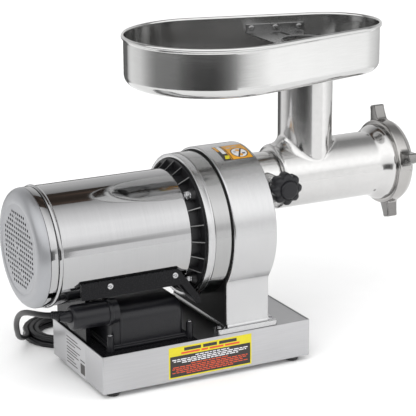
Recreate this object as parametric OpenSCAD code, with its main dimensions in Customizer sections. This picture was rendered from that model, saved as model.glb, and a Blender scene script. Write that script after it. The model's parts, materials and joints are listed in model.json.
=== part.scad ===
// Electric meat grinder: face-mounted motor, two-stage gearbox on a pedestal, clamped grinding
// head with feed pan, on a sheet-steel base. Millimetres. X runs from the motor's rear cap
// towards the outlet, Z is up, and the origin is on the table below the middle of the machine.

/* [Overall] */
// Length from the rear cap's face to the ring nut's front
machine_len = 518; // [518:1:524]
// Height of the motor shaft above the table
motor_z = 176; // [175:0.5:178]
// Radius of the motor cover
cover_r = 71.5; // [70:0.5:72]

/* [Base] */
// Length of the base
base_len = 280; // [276:1:290]
// Width of the base
base_w = 154; // [152:1:160]
// Height of the base's sides
base_h = 47; // [46:1:47]
// Height of a rubber foot
foot_h = 7; // [5:1:8]
// Radius of a rubber foot
foot_r = 9; // [7:0.5:11]
// Thickness of the base's sheet steel
sheet = 1.5; // [1:0.5:2]

/* [Gearbox] */
// Radius of the round gear housing
case_r = 92.6; // [92:0.2:94]
// Height of the grinding head's axis above the motor shaft
head_rise = 44; // [44:0.5:45]
// Module of the first gear pair
first_module = 1.5; // [1.5]
// Teeth on the motor pinion
pinion_teeth = 12; // [12]
// Teeth on the first driven gear
first_teeth = 45; // [45]
// Module of the second gear pair
second_module = 2; // [2]
// Teeth on the lay shaft's pinion
lay_teeth = 13; // [13]
// Teeth on the output gear
output_teeth = 34; // [34]
// Pressure angle of both pairs
pressure_angle = 25; // [25]
// Tooth thinning that gives the gears their backlash
thinning = 0.2; // [0.15:0.05:0.3]

/* [Grinding head] */
// Outer radius of the barrel
barrel_r = 40.8; // [40:0.2:41]
// Bore radius of the barrel
barrel_bore = 37.5; // [37:0.1:38]
// Radius of the neck that carries the pan
neck_r = 33.9; // [33:0.1:34.5]
// Bore radius of the neck
throat_r = 30.5; // [30:0.1:31]
// Radius of the cutting plate
plate_r = 41; // [40.5:0.1:41]
// Rim radius of the ring nut
ring_r = 53.5; // [53:0.5:56]

/* [Pan] */
// Rim radius at the pan's wide end
pan_big_r = 106.7; // [100:0.1:110]
// Rim radius at the pan's narrow end
pan_small_r = 66.5; // [60:0.1:70]
// Distance between the centres of the two ends
pan_ends = 164; // [150:1:170]
// Depth of the pan
pan_depth = 61; // [50:1:64]
// Height of the pan's rim above the table
rim_z = 409; // [405:1:412]

/* [Cord] */
// Diameter of the mains cord
cord_d = 7; // [6.5:0.1:8]

/* [Hidden] */
$fn = 64;
eps = 0.01;
gap = 0.3;
run = 0.05;

// Heights
base_top = foot_h + base_h;
deck_z = base_top - 1;
head_z = motor_z + head_rise;
pan_z = rim_z - pan_depth;

// Stations along X, from the rear cap to the outlet
front_x = machine_len / 2;
cap_x = -machine_len / 2;
seam_x = cap_x + 12.3;
bead_x = seam_x + 12.3;
base_x = cap_x + 70;
base_end = base_x + base_len;
cover_end = -68.7;
bell_x = -56;
ring_x = -54.3;
band_x = -45.8;
gasket_x = -23.5;
case_x = -22.3;
case_front = 35.5;
socket_end = 76;
barrel_x = 81;
neck_x = 126.3;
seat_x = front_x - 17;
barrel_end = front_x - 10;
ring_back = front_x - 25;

// Gear train: the lay shaft's place follows from the two centre distances
first_reach = first_module * (pinion_teeth + first_teeth) / 2;
second_reach = second_module * (lay_teeth + output_teeth) / 2;
lay_dz = (first_reach * first_reach + head_rise * head_rise - second_reach * second_reach)
    / (2 * head_rise);
lay_y = sqrt(first_reach * first_reach - lay_dz * lay_dz);
lay_z = motor_z + lay_dz;
first_x0 = -18;
first_x1 = -4;
second_x0 = 0;
second_x1 = 19;
case_bore = 84;
motor_journal = 7.5;
lay_journal = 7.5;
tail_journal = 10;
output_journal = 12.5;

// Knob that clamps the head, seen from the operator's side
knob_x = 56;
knob_z = head_z + 6;
knob_r = 20;
knob_face = -87;
knob_back = -63;
stud_r = 5;

// Pan outline: two arcs joined by their common tangents
pan_big_x = -5.8;
pan_small_x = pan_big_x + pan_ends;
pan_slant = asin((pan_big_r - pan_small_r) / pan_ends);
rim_out = 2.6;
rim_h = 6;
pan_wall = 1.2;
spout_r = throat_r - gap;
guard_z = 386;

// Cord: the route's points are centres of the cord, on the table at cord_d / 2
exit_at = [-217, -46, 100];
lead_route = [[-217, -46, 100], [-225, -38, 100], [-232, -31, 99.5], [-238, -22, 98], [-242, -10, 96],
    [-244, 3, 93.5], [-245, 17, 90], [-245, 31, 85], [-244, 45, 78], [-242, 58, 69], [-239, 70, 59],
    [-235, 81, 48.5], [-230, 92, 38.5], [-225, 103, 29.5], [-218.5, 114, 22], [-210.5, 125, 16.5],
    [-203, 136, 13], [-196.8, 147, 11.2], [-194.1, 158, 10.6]];
tail_route = [[-151, 200.7, 3.6], [-138, 201, 3.5], [-122, 200, 3.5], [-101, 194, 3.5], [-84, 182, 3.8],
    [-68, 167, 5], [-50, 155, 7.5], [-38, 151, 9.5], [-30, 150, 10]];
coil_at = [-145, 152];
coil_r = 42;
coil_wide = 3 * cord_d;
coil_high = 2 * cord_d;
plug_at = [-30, 150, 10];

// Helpers: solids along X or Y, and a lathe whose axis is X
module along_x(x, y, z) {
    translate([x, y, z]) rotate([0, 90, 0]) children();
}

module x_rod(r, x0, x1, y = 0, z = motor_z) {
    along_x(x0, y, z) cylinder(r = r, h = x1 - x0);
}

module x_tube(outer, inner, x0, x1, y = 0, z = motor_z) {
    difference() {
        x_rod(outer, x0, x1, y, z);
        x_rod(inner, x0 - 1, x1 + 1, y, z);
    }
}

module x_lathe(profile, y = 0, z = motor_z) {
    along_x(0, y, z) rotate_extrude() polygon(profile);
}

module y_rod(r, x, z, y0, y1) {
    translate([x, y1, z]) rotate([90, 0, 0]) cylinder(r = r, h = y1 - y0);
}

module block(low, high) {
    translate(low) cube(high - low);
}

module around_x(angles, y = 0, z = motor_z) {
    for (a = angles)
        translate([0, y, z]) rotate([a, 0, 0]) children();
}

// Involute gear outline, with a tooth centred on the +X direction of the drawing
function involute(a) = tan(a) * 180 / PI - a;
function tooth_half(n, m, r) =
    let (pitch = m * n / 2, base = pitch * cos(pressure_angle), a = r > base ? acos(base / r) : 0)
    90 / n - thinning / 2 / pitch * 180 / PI + involute(pressure_angle) - involute(a);
function tooth_radii(n, m) =
    let (pitch = m * n / 2, root = pitch - 1.25 * m, tip = pitch + m,
        low = max(root, pitch * cos(pressure_angle)))
    concat(root < low ? [root] : [], [for (i = [0:5]) low + (tip - low) * i / 5]);
function polar(r, a) = [r * cos(a), r * sin(a)];
function gear_outline(n, m) =
    let (radii = tooth_radii(n, m), last = len(radii) - 1)
    [for (t = [0:n - 1]) let (mid = t * 360 / n)
        for (k = [0:2 * last + 1])
            let (r = radii[k <= last ? k : 2 * last + 1 - k], side = k <= last ? -1 : 1)
            polar(r, mid + side * tooth_half(n, m, r))];

// A gear about the axis at [y, z]; toward is the direction of a tooth's middle, from +Y to +Z
module gear(n, m, x0, x1, y, z, toward, bore) {
    difference() {
        translate([x0, y, z]) rotate([90, 0, 90]) rotate(toward)
            linear_extrude(x1 - x0) polygon(gear_outline(n, m));
        if (bore > 0) x_rod(bore, x0 - 1, x1 + 1, y, z);
    }
}

lay_from_motor = atan2(lay_dz, lay_y);
output_from_lay = atan2(head_z - lay_z, -lay_y);

// A tube swept along a route, with one ring of points for each point of the route
cord_sides = 10;
function unit(v) = v / norm(v);
function heading(route, i) =
    unit(route[min(i + 1, len(route) - 1)] - route[max(i - 1, 0)]);
function ring_points(at, along, r) =
    let (side = unit(cross(along, [0, 0, 1])), up = cross(side, along))
    [for (k = [0:cord_sides - 1])
        at + r * cos(k * 360 / cord_sides) * side + r * sin(k * 360 / cord_sides) * up];

module swept_cord(route, r) {
    last = len(route) - 1;
    points = [for (i = [0:last]) each ring_points(route[i], heading(route, i), r)];
    sides = [for (i = [0:last - 1]) for (k = [0:cord_sides - 1])
        let (a = i * cord_sides + k, b = i * cord_sides + (k + 1) % cord_sides)
        for (face = [[a, b, b + cord_sides], [a, b + cord_sides, a + cord_sides]]) face];
    first_cap = [for (k = [cord_sides - 1:-1:0]) k];
    last_cap = [for (k = [0:cord_sides - 1]) last * cord_sides + k];
    polyhedron(points, concat([first_cap], sides, [last_cap]));
}

// ---- Base -------------------------------------------------------------------------------

foot_x = [base_x + 18, base_end - 18];
foot_y = [-base_w / 2 + 14, base_w / 2 - 14];
floor_z = foot_h + sheet;
switch_at = [30, 30];
reset_at = [-8, 30];

module base_frame() {
    ledge = 8;
    lip = 26;
    color("silver") difference() {
        block([base_x, -base_w / 2, foot_h], [base_end, base_w / 2, base_top]);
        block([base_x + sheet, -base_w / 2 + sheet, floor_z],
            [base_end - sheet, base_w / 2 - sheet, deck_z - 2 * sheet]);
        block([base_x + sheet, -base_w / 2 + sheet, deck_z - sheet],
            [base_end - sheet, base_w / 2 - sheet, base_top + 1]);
        block([base_x + ledge, -base_w / 2 + ledge, floor_z],
            [base_end - ledge, base_w / 2 - ledge, base_top + 1]);
        block([base_x + lip, -base_w / 2 + lip, 0], [base_end - lip, base_w / 2 - lip, floor_z + 1]);
        for (x = foot_x, y = foot_y)
            translate([x, y, 0]) cylinder(r = 2.1, h = floor_z + 1);
        block([switch_at[0] - 14, base_w / 2 - 5, switch_at[1] - 10],
            [switch_at[0] + 14, base_w / 2 + 1, switch_at[1] + 10]);
        y_rod(6.1, reset_at[0], reset_at[1], base_w / 2 - 5, base_w / 2 + 1);
    }
}

deck_split = -62;

module deck_rear() {
    color("#181818") difference() {
        block([base_x + sheet, -base_w / 2 + sheet, deck_z - sheet],
            [deck_split, base_w / 2 - sheet, deck_z]);
        block([-150, -30, deck_z - 5], [-110, 0, deck_z + 1]);
    }
}

module deck_front() {
    color("silver")
        block([deck_split, -base_w / 2 + sheet, deck_z - sheet],
            [base_end - sheet, base_w / 2 - sheet, deck_z]);
}

cross_x = [-48, 58];

module cross_plate() {
    color("dimgray")
        block([cross_x[0], -base_w / 2 + 8, deck_z - sheet - 6],
            [cross_x[1], base_w / 2 - 8, deck_z - sheet]);
}

module floor_plate() {
    color("gray") difference() {
        block([base_x + 3, -base_w / 2 + 3, floor_z], [base_end - 3, base_w / 2 - 3, floor_z + sheet]);
        for (x = foot_x, y = foot_y)
            translate([x, y, floor_z - 1]) cylinder(r = 2.1, h = 5);
        for (x = [-150:20:50])
            block([x, -30, floor_z - 1], [x + 6, 30, floor_z + 4]);
    }
}

module feet() {
    color("#202020") for (x = foot_x, y = foot_y)
        translate([x, y, 0]) difference() {
            cylinder(r1 = foot_r - 1, r2 = foot_r, h = foot_h);
            translate([0, 0, -1]) cylinder(r = 5, h = 4);
            cylinder(r = 2.05, h = foot_h + 3);
        }
}

module foot_screws() {
    color("silver") for (x = foot_x, y = foot_y)
        translate([x, y, 1]) {
            cylinder(r = 4, h = 2);
            cylinder(r = 2, h = 12);
            translate([0, 0, floor_z + sheet - 1]) cylinder(r = 3.6, h = 3, $fn = 6);
        }
}

module labels() {
    label = 0.3;
    color("gold")
        block([base_x + 85.5, -base_w / 2 - label, foot_h + 3.5],
            [base_x + 197.5, -base_w / 2, foot_h + 43]);
    color("lightgray")
        block([base_x - label, -27, foot_h + 1], [base_x, 35, foot_h + 44]);
    color("orange") intersection() {
        x_tube(case_r + label, case_r, -8, 24);
        block([-10, -26, motor_z], [26, 16, motor_z + 110]);
    }
}

// ---- Capacitor box and cord ----------------------------------------------------------------

box_x = [-167, -73];
box_y = [-55, 22];
box_top = 101;
box_wall = 2;
box_round = 18;
boss_y = -46;
boss_z = 100;
boss_r = 15;
box_posts = [[-170, -57], [-66, -57], [-170, 26], [-66, 26]];

module box_outline(shrink, x0, x1) {
    low = [box_y[0] + shrink, deck_z - eps];
    high = [box_y[1] - shrink, box_top - shrink];
    r = box_round - shrink;
    translate([x0, 0, 0]) rotate([90, 0, 90]) linear_extrude(x1 - x0) {
        translate(low) square([high[0] - low[0], high[1] - r - low[1]]);
        translate([low[0] + r, low[1]]) square([high[0] - low[0] - 2 * r, high[1] - low[1]]);
        for (y = [low[0] + r, high[0] - r])
            translate([y, high[1] - r]) circle(r);
    }
}

module capacitor_box() {
    color("#1c1c1e") difference() {
        union() {
            intersection() {
                box_outline(0, box_x[0], box_x[1]);
                block([box_x[0], box_y[0], deck_z], [box_x[1], box_y[1], 200]);
            }
            block([-171, -58, deck_z], [-65, 30, deck_z + 3]);
            x_rod(boss_r, exit_at[0] + 1, box_x[0] + 10, boss_y, boss_z - 2);
            for (p = box_posts)
                translate([p[0], p[1], deck_z]) cylinder(r = 4, h = 19);
        }
        box_outline(box_wall, box_x[0] + box_wall, box_x[1] - box_wall);
        block([-160, -50, deck_z - 1], [-80, 18, deck_z + 4]);
        x_rod(boss_r - 2, exit_at[0] + 3, box_x[0] + 4, boss_y, boss_z - 2);
        x_rod(5, exit_at[0], exit_at[0] + 4, exit_at[1], exit_at[2]);
        x_rod(cover_r + 1, -240, -60);
        for (p = box_posts)
            translate([p[0], p[1], deck_z - 1]) cylinder(r = 1.6, h = 21);
    }
}

// The screws of the capacitor box and of the motor cover's rails
module cover_screws() {
    color("silver") {
        for (p = box_posts)
            translate([p[0], p[1], deck_z - 6]) {
                cylinder(r = 1.6, h = 25);
                translate([0, 0, 25]) cylinder(r = 2.8, h = 1.5);
            }
        for (side = [-1, 1], x = [-173, -89])
            translate([x, 0, 137]) rotate([side * 90, 0, 0]) {
                translate([0, 0, 62]) cylinder(r = 1.9, h = 5.5);
                translate([0, 0, 67.5]) cylinder(r = 4, h = 2.4);
            }
    }
}

module capacitors() {
    color("#2a2a30") for (y = [-30, 0])
        x_rod(13.5, -158, -84, y, deck_z + 16.5);
}

module terminal_block() {
    color("ivory") difference() {
        block([-150, -34, deck_z + 31.2], [-110, -20, deck_z + 42]);
        for (x = [-145:10:-115])
            translate([x, -27, deck_z + 36]) cylinder(r = 2.5, h = 8);
    }
}

relief_len = 22;

module cord_gland() {
    aim = unit([-1, 1, 0]);
    start = [exit_at[0] + 3, exit_at[1], exit_at[2]];
    color("#151515") difference() {
        union() {
            x_rod(5, exit_at[0] + 1, exit_at[0] + 12, exit_at[1], exit_at[2]);
            x_rod(7.5, exit_at[0] - 2, exit_at[0] + 1, exit_at[1], exit_at[2]);
            translate(exit_at) rotate([0, -90, -45])
                cylinder(r1 = 6.8, r2 = cord_d / 2 + 1, h = relief_len);
        }
        translate(start - 4 * aim) rotate([0, -90, -45]) cylinder(r = cord_d / 2, h = 60);
    }
}

module cord_lead() {
    color("#121212") swept_cord(lead_route, cord_d / 2);
}

module cord_coil() {
    color("#121212") translate([coil_at[0], coil_at[1], 0])
        rotate_extrude() translate([coil_r - coil_wide / 2, 0]) square([coil_wide, coil_high]);
}

module cord_tail() {
    color("#121212") swept_cord(tail_route, cord_d / 2);
}

module cord_tie() {
    side = coil_wide / 2 + 1;
    color("#303030") translate([coil_at[0] + coil_r, coil_at[1], 0]) difference() {
        block([-side, -6, 0], [side, 6, coil_high + 1]);
        block([-side + 0.8, -7, -1], [side - 0.8, 7, coil_high]);
    }
}

module plug() {
    color("#121212") union() {
        translate(plug_at) rotate([0, 90, 0]) cylinder(r1 = 5, r2 = 8, h = 14);
        block(plug_at + [14, -13, -10], plug_at + [38, 13, 10]);
    }
    color("silver") union() {
        for (y = [-6.5, 5])
            block(plug_at + [38, y, -3], plug_at + [54, y + 1.5, 3.5]);
        x_rod(2.4, plug_at[0] + 38, plug_at[0] + 56, plug_at[1], plug_at[2] - 6.5);
    }
}

// ---- Motor ----------------------------------------------------------------------------------

rail_x = [-209, -84];
rail_z = [124, 144];

module motor_cradle() {
    color("#161616") difference() {
        union() {
            for (side = [-1, 1])
                block([rail_x[0], side * 65 - 2.5, rail_z[0]], [rail_x[1], side * 65 + 2.5, rail_z[1]]);
            for (y = [-67.5, 44])
                translate([0, y + 23.5, 0]) rotate([90, 0, 0]) linear_extrude(23.5)
                    polygon([[-92, rail_z[0]], [-92, rail_z[1]], [-84, rail_z[1]], [-55, 104],
                        [-55, 97], [-61, 97], [-81, rail_z[0]]]);
            block([-186, -22, deck_z], [-180, 67.5, rail_z[1]]);
        }
        x_rod(cover_r, -260, -40);
        x_rod(79.5, -69.5, -40);
    }
}

module motor_cover() {
    color("lightgray") x_lathe([[cover_r - 1.2, bead_x - 2], [cover_r - 1.2, cover_end],
        [cover_r, cover_end], [cover_r, bead_x + 2.5], [cover_r + 1.3, bead_x + 1.5],
        [cover_r + 1.7, bead_x], [cover_r + 1.3, bead_x - 1.5], [cover_r, bead_x - 2]]);
}

module cap_band() {
    color("silver") difference() {
        x_tube(cover_r, cover_r - 1.5, seam_x + 0.3, bead_x - 2);
        block([seam_x - 1, -70, motor_z - 46], [bead_x - 3, -40, motor_z - 38]);
    }
}

hole_pitch = 6;
hole_side = 3.2;
grille_r = 46;

module rear_cap() {
    round = 12;
    arc = [for (a = [0:15:90])
        [cover_r - round + round * sin(a), cap_x + round - round * cos(a)]];
    color("silver") difference() {
        x_lathe(concat([[0, cap_x + 0.8], [54, cap_x + 0.8], [55, cap_x]], arc,
            [[cover_r, seam_x], [cover_r - 1.5, seam_x], [cover_r - 1.5, cap_x + round],
            [cover_r - round, cap_x + 2.6], [0, cap_x + 2.6]]));
        translate([cap_x - 1, 0, motor_z]) rotate([90, 0, 90]) linear_extrude(5)
            for (i = [-8:8], j = [-8:8])
                if (norm([i, j]) * hole_pitch < grille_r && norm([i, j]) > 0.5)
                    translate([i * hole_pitch, j * hole_pitch]) square(hole_side, center = true);
    }
}

module rear_shield() {
    color("darkgray") difference() {
        union() {
            x_rod(cover_r - 1.2, -226, -220);
            x_rod(22, -226, -212);
        }
        x_rod(17.5, -227, -216);
        x_rod(10, -228, -211);
        around_x([0:60:300]) translate([0, 0, 46]) x_rod(14, -230, -210, 0, 0);
    }
}

module stator() {
    color("gray") difference() {
        x_rod(cover_r - 1.2, -195, -105);
        x_rod(38, -196, -104);
        around_x([0:30:330]) translate([0, 0, 46]) x_rod(4, -196, -104, 0, 0);
    }
}

module windings() {
    color("peru") {
        x_tube(60, 41, -207, -195);
        x_tube(60, 41, -105, -93);
    }
}

module motor_bearings() {
    color("lightsteelblue") {
        x_tube(17.5, motor_journal + run, -227, -216);
        x_tube(17.5, motor_journal + run, -58, -47);
    }
}

vane_count = 24;
vane = 1.6;
nut_r = 73;

module end_bell() {
    color("#1a1a1a") difference() {
        union() {
            x_rod(82.4, bell_x, bell_x + 6);
            x_tube(cover_r - 1.3, 64, -78, bell_x);
            x_rod(22, -60, -46);
            for (i = [0:vane_count - 1])
                if (i % 6 != 3)
                    translate([0, 0, motor_z]) rotate([i * 360 / vane_count, 0, 0])
                        translate([0, vane / 2, 0]) rotate([90, 0, 0]) linear_extrude(vane)
                            polygon([[cover_end + 0.3, 68], [cover_end + 0.3, 71.2], [ring_x - 0.3, 82.2],
                                [-52, 82.2], [-52, 68]]);
            around_x([45:90:315]) translate([0, 0, nut_r]) x_rod(6, -62, bell_x, 0, 0);
        }
        x_rod(17.5, -58, -45);
        x_rod(10, -61, -45);
        around_x([45:90:315]) translate([0, 0, nut_r]) x_rod(2.5, -80, -45, 0, 0);
        around_x([45:90:315]) translate([0, 0, nut_r]) x_rod(7, -79, -62, 0, 0);
        around_x([0:45:315]) translate([0, 0, 42]) x_rod(9, -60, -45, 0, 0);
    }
}

module tie_nuts() {
    color("silver") around_x([45:90:315]) translate([0, 0, nut_r]) {
        x_rod(2.5, -68.2, -38, 0, 0);
        along_x(-67.5, 0, 0) cylinder(r = 5.4, h = 4.5, $fn = 6);
        x_rod(5.8, -63, -62, 0, 0);
    }
}

// ---- Gearbox ----------------------------------------------------------------------------------

web_x = [-45, -36];
boss = 20;
pedestal_y = 71;
foot_flange_z = 66;
flange_x = [-35, 47];

module adapter_ring() {
    color("lightgray") difference() {
        union() {
            x_lathe([[82.7, ring_x], [87.2, ring_x], [87.7, ring_x + 0.6], [87.7, band_x],
                [87.2, band_x + 0.2], [87.2, band_x + 1], [88, band_x + 1.2], [88, gasket_x],
                [82.7, gasket_x]]);
            x_rod(83, web_x[0], web_x[1]);
            x_rod(boss, web_x[1] - eps, -26, lay_y, lay_z);
            x_rod(boss, web_x[1] - eps, gasket_x, 0, head_z);
        }
        x_rod(9, web_x[0] - 1, web_x[1] + 1);
        x_rod(13, -35, -25, lay_y, lay_z);
        x_rod(16, -34, -22, 0, head_z);
        around_x([45:90:315]) translate([0, 0, nut_r]) x_rod(2.5, -50, -37.9, 0, 0);
    }
}

module gasket() {
    color("#111111") difference() {
        union() {
            x_rod(89, gasket_x, case_x);
            block([gasket_x, -pedestal_y, foot_flange_z - 6], [case_x, pedestal_y, 118]);
        }
        x_rod(83, gasket_x - 1, case_x + 1);
    }
}

module gear_housing() {
    wall_x = 26;
    chamfer = 2;
    pocket = 23.5;
    color("gainsboro") difference() {
        union() {
            x_lathe([[0, case_x], [case_r - chamfer, case_x], [case_r, case_x + chamfer],
                [case_r, case_front - chamfer], [case_r - chamfer, case_front], [0, case_front]]);
            block([case_x, -pedestal_y, deck_z], [case_front + 1.5, pedestal_y, 118]);
            block([flange_x[0], -base_w / 2 + 2, deck_z], [flange_x[1], base_w / 2 - 2, foot_flange_z - 6]);
        }
        x_rod(case_bore, case_x - 1, wall_x);
        block([case_x - 20, -pedestal_y + 9, deck_z - 1], [case_front - 8, pedestal_y - 9, 84]);
        x_rod(13, wall_x - 1, 33, lay_y, lay_z);
        x_rod(pocket, wall_x - 1, 34, 0, head_z);
        x_rod(21, wall_x - 1, case_front + 1, 0, head_z);
        for (p = bolt_places)
            translate([p[0], p[1], deck_z - 1]) cylinder(r = 4.2, h = 20);
    }
}

bolt_places = [for (x = [-29.5, 41.6], y = [-64.5, 64.5]) [x, y]];

module pedestal_bolts() {
    color("silver") for (p = bolt_places)
        translate([p[0], p[1], 0]) {
            translate([0, 0, deck_z - 7.5]) cylinder(r = 4, h = foot_flange_z - deck_z + 2);
            translate([0, 0, foot_flange_z - 6]) cylinder(r = 4.5, h = 1);
            translate([0, 0, foot_flange_z - 5]) cylinder(r = 4.4, h = 4, $fn = 6);
        }
}

module gear_bearings() {
    color("lightsteelblue") {
        x_tube(13, lay_journal + run, -35, -27, lay_y, lay_z);
        x_tube(13, lay_journal + run, 26.5, 33, lay_y, lay_z);
        x_tube(16, tail_journal + run, -34, -24, 0, head_z);
        x_tube(23.5, output_journal + run, 24, 33.9, 0, head_z);
    }
}

module oil_seal() {
    color("#3a1a14") x_tube(18, output_journal + run, 35, 41, 0, head_z);
}

module head_socket() {
    color("silver") difference() {
        union() {
            x_rod(32.7, case_front, socket_end, 0, head_z);
            x_rod(21, 34, case_front + eps, 0, head_z);
            y_rod(9, knob_x, knob_z, -50, -20);
        }
        x_rod(28 + run, 41.5, socket_end + 1, 0, head_z);
        x_rod(18, 35, 42, 0, head_z);
        x_rod(15, 30, 36, 0, head_z);
        y_rod(stud_r + run, knob_x, knob_z, -51, -20);
    }
}

// ---- Controls on the far side of the base -------------------------------------------------------

module switch_body() {
    y = base_w / 2;
    color("#1a1a1a") difference() {
        union() {
            block([switch_at[0] - 14, y - 24, switch_at[1] - 10], [switch_at[0] + 14, y, switch_at[1] + 10]);
            block([switch_at[0] - 16, y, switch_at[1] - 12], [switch_at[0] + 16, y + 2, switch_at[1] + 12]);
        }
        block([switch_at[0] - 11.5, y - 12, switch_at[1] - 7],
            [switch_at[0] + 11.5, y + 3, switch_at[1] + 7]);
    }
}

rocker_y = base_w / 2 - 7;

module rocker() {
    color("#8a1010") translate([switch_at[0], rocker_y, switch_at[1] - 6.7]) rotate(10)
        linear_extrude(13.4)
            polygon([[-9.8, 0], [-9.8, 7.5], [0, 5.5], [9.8, 7.5], [9.8, 0], [0, -3]]);
}

module reset_body() {
    y = base_w / 2;
    color("#1a1a1a") difference() {
        union() {
            y_rod(6, reset_at[0], reset_at[1], y - 26, y);
            y_rod(8, reset_at[0], reset_at[1], y, y + 2);
        }
        y_rod(4, reset_at[0], reset_at[1], y - 12, y + 3);
    }
}

module reset_button() {
    color("#b01818")
        y_rod(3.9, reset_at[0], reset_at[1], base_w / 2 - 8, base_w / 2 + 5);
}

// ---- Moving parts of the drive --------------------------------------------------------------------

module motor_shaft() {
    color("silver") {
        x_rod(motor_journal, -246, first_x0);
        gear(pinion_teeth, first_module, first_x0, first_x1, 0, motor_z, lay_from_motor, 0);
    }
}

module rotor_core() {
    color("slategray") x_tube(37.5, motor_journal, -196, -104);
}

module cooling_fan() {
    color("#303030") difference() {
        union() {
            x_rod(14, -243, -231);
            x_rod(60, -233, -231);
            for (a = [0:45:315])
                translate([0, 0, motor_z]) rotate([a, 0, 0]) block([-243, -1, 12], [-232, 1, 59]);
        }
        x_rod(motor_journal, -244, -230);
    }
}

module lay_shaft() {
    color("silver") {
        x_rod(lay_journal, -34.5, second_x0, lay_y, lay_z);
        x_rod(lay_journal, second_x1, 32.5, lay_y, lay_z);
        gear(lay_teeth, second_module, second_x0, second_x1, lay_y, lay_z, output_from_lay, 0);
    }
}

module lay_gear() {
    color("darkgray")
        gear(first_teeth, first_module, first_x0, first_x1, lay_y, lay_z,
            lay_from_motor + 180 + 180 / first_teeth, lay_journal);
}

module output_shaft() {
    tang = 14.4;
    color("silver") difference() {
        union() {
            x_rod(tail_journal, -33.5, second_x0, 0, head_z);
            x_rod(output_journal, second_x0 - eps, 43, 0, head_z);
            x_rod(14, 42, 60, 0, head_z);
        }
        block([44, -tang / 2, head_z - tang / 2], [61, tang / 2, head_z + tang / 2]);
    }
}

module output_gear() {
    color("darkgray")
        gear(output_teeth, second_module, second_x0, second_x1, 0, head_z,
            output_from_lay + 180 + 180 / output_teeth, output_journal);
}

// ---- Grinding head ----------------------------------------------------------------------------------

flight_turns = 3.25;
flight_x = [88, seat_x - 11];
flight_r = barrel_bore - 0.9;

// A wedge section carried along a helix, with its root sunk into the auger's core
module auger_flight() {
    steps = 78;
    section = [[15.5, -3.4], [flight_r, -1.6], [flight_r, 1.6], [15.5, 3.4]];
    points = [for (i = [0:steps]) for (p = section)
        let (a = -360 * flight_turns * i / steps)
        [flight_x[0] + (flight_x[1] - flight_x[0]) * i / steps + p[1], p[0] * cos(a), p[0] * sin(a)]];
    sides = [for (i = [0:steps - 1]) for (k = [0:3])
        let (a = 4 * i + k, b = 4 * i + (k + 1) % 4)
        for (face = [[a, b, b + 4], [a, b + 4, a + 4]]) face];
    color("silver") translate([0, 0, head_z])
        polyhedron(points, concat([[3, 2, 1, 0]], sides,
            [[4 * steps, 4 * steps + 1, 4 * steps + 2, 4 * steps + 3]]));
}

module auger() {
    color("silver") {
        block([45, -7, head_z - 7], [60.5, 7, head_z + 7]);
        x_rod(13, 60.5, 84.4, 0, head_z);
        x_rod(24, 84.3, 87.5, 0, head_z);
        x_rod(16, 87, seat_x - 7, 0, head_z);
        block([seat_x - 7.1, -6, head_z - 6], [seat_x - gap, 6, head_z + 6]);
        x_rod(8 - run, seat_x - gap - eps, seat_x + 8.4, 0, head_z);
    }
}

module knife() {
    blade_x = [seat_x - 7, seat_x - gap];
    color("lightgray") difference() {
        union() {
            x_rod(14, blade_x[0], blade_x[1], 0, head_z);
            for (a = [0:90:270])
                translate([0, 0, head_z]) rotate([a, 0, 0])
                    translate([blade_x[0], 0, 0]) rotate([90, 0, 90]) linear_extrude(6.7)
                        polygon([[8, -7], [22, -6.5], [36.2, -7.5], [36.4, -1], [22, 3], [10, 7]]);
        }
        block([blade_x[0] - 1, -6, head_z - 6], [blade_x[1] + 1, 6, head_z + 6]);
    }
}

module head_casting() {
    flare = 48;
    round = [for (a = [0:15:90]) [barrel_r - 5.8 + 5.8 * sin(a), barrel_x - 5 * cos(a) + 0.5]];
    color("silver") difference() {
        union() {
            x_lathe(concat([[0, 46], [27.5, 46], [28, 46.5], [28, socket_end + 0.3]],
                [for (p = round) p], [[barrel_r, seat_x - 26], [flare - 1.5, seat_x - 13],
                [flare, seat_x - 11], [flare, barrel_end], [0, barrel_end]]), 0, head_z);
            translate([neck_x, 0, head_z]) cylinder(r = neck_r, h = pan_z - gap - head_z);
        }
        x_rod(17.5, 45, 90, 0, head_z);
        x_rod(barrel_bore, barrel_x + 1, seat_x + 1, 0, head_z);
        x_rod(plate_r + gap, seat_x, barrel_end + 1, 0, head_z);
        translate([neck_x, 0, head_z]) cylinder(r = throat_r, h = 200);
        x_rod(1.5, seat_x - 5, barrel_end + 1, 0, head_z - plate_r - 0.5);
    }
}

module head_bush() {
    color("#b08d57") {
        x_tube(17.5, 13 + run, 62, 81.5, 0, head_z);
        x_tube(24, 13 + run, 82, 84, 0, head_z);
    }
}

module plate_key() {
    color("silver") x_rod(1.5, seat_x - 5, barrel_end - 0.5, 0, head_z - plate_r - 0.5);
}

plate_rings = [[16, 6], [25, 10], [34, 14]];

module cutting_plate() {
    color("#9a9a9e") difference() {
        x_rod(plate_r, seat_x, seat_x + 8.5, 0, head_z);
        x_rod(8, seat_x - 1, seat_x + 10, 0, head_z);
        for (ring = plate_rings)
            around_x([for (i = [0:ring[1] - 1]) i * 360 / ring[1]], 0, head_z)
                translate([0, 0, ring[0]]) x_rod(3, seat_x - 1, seat_x + 10, 0, 0);
        x_rod(2, seat_x - 1, seat_x + 10, 0, head_z - plate_r - 0.5);
    }
}

lug_turn = -15;

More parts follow.
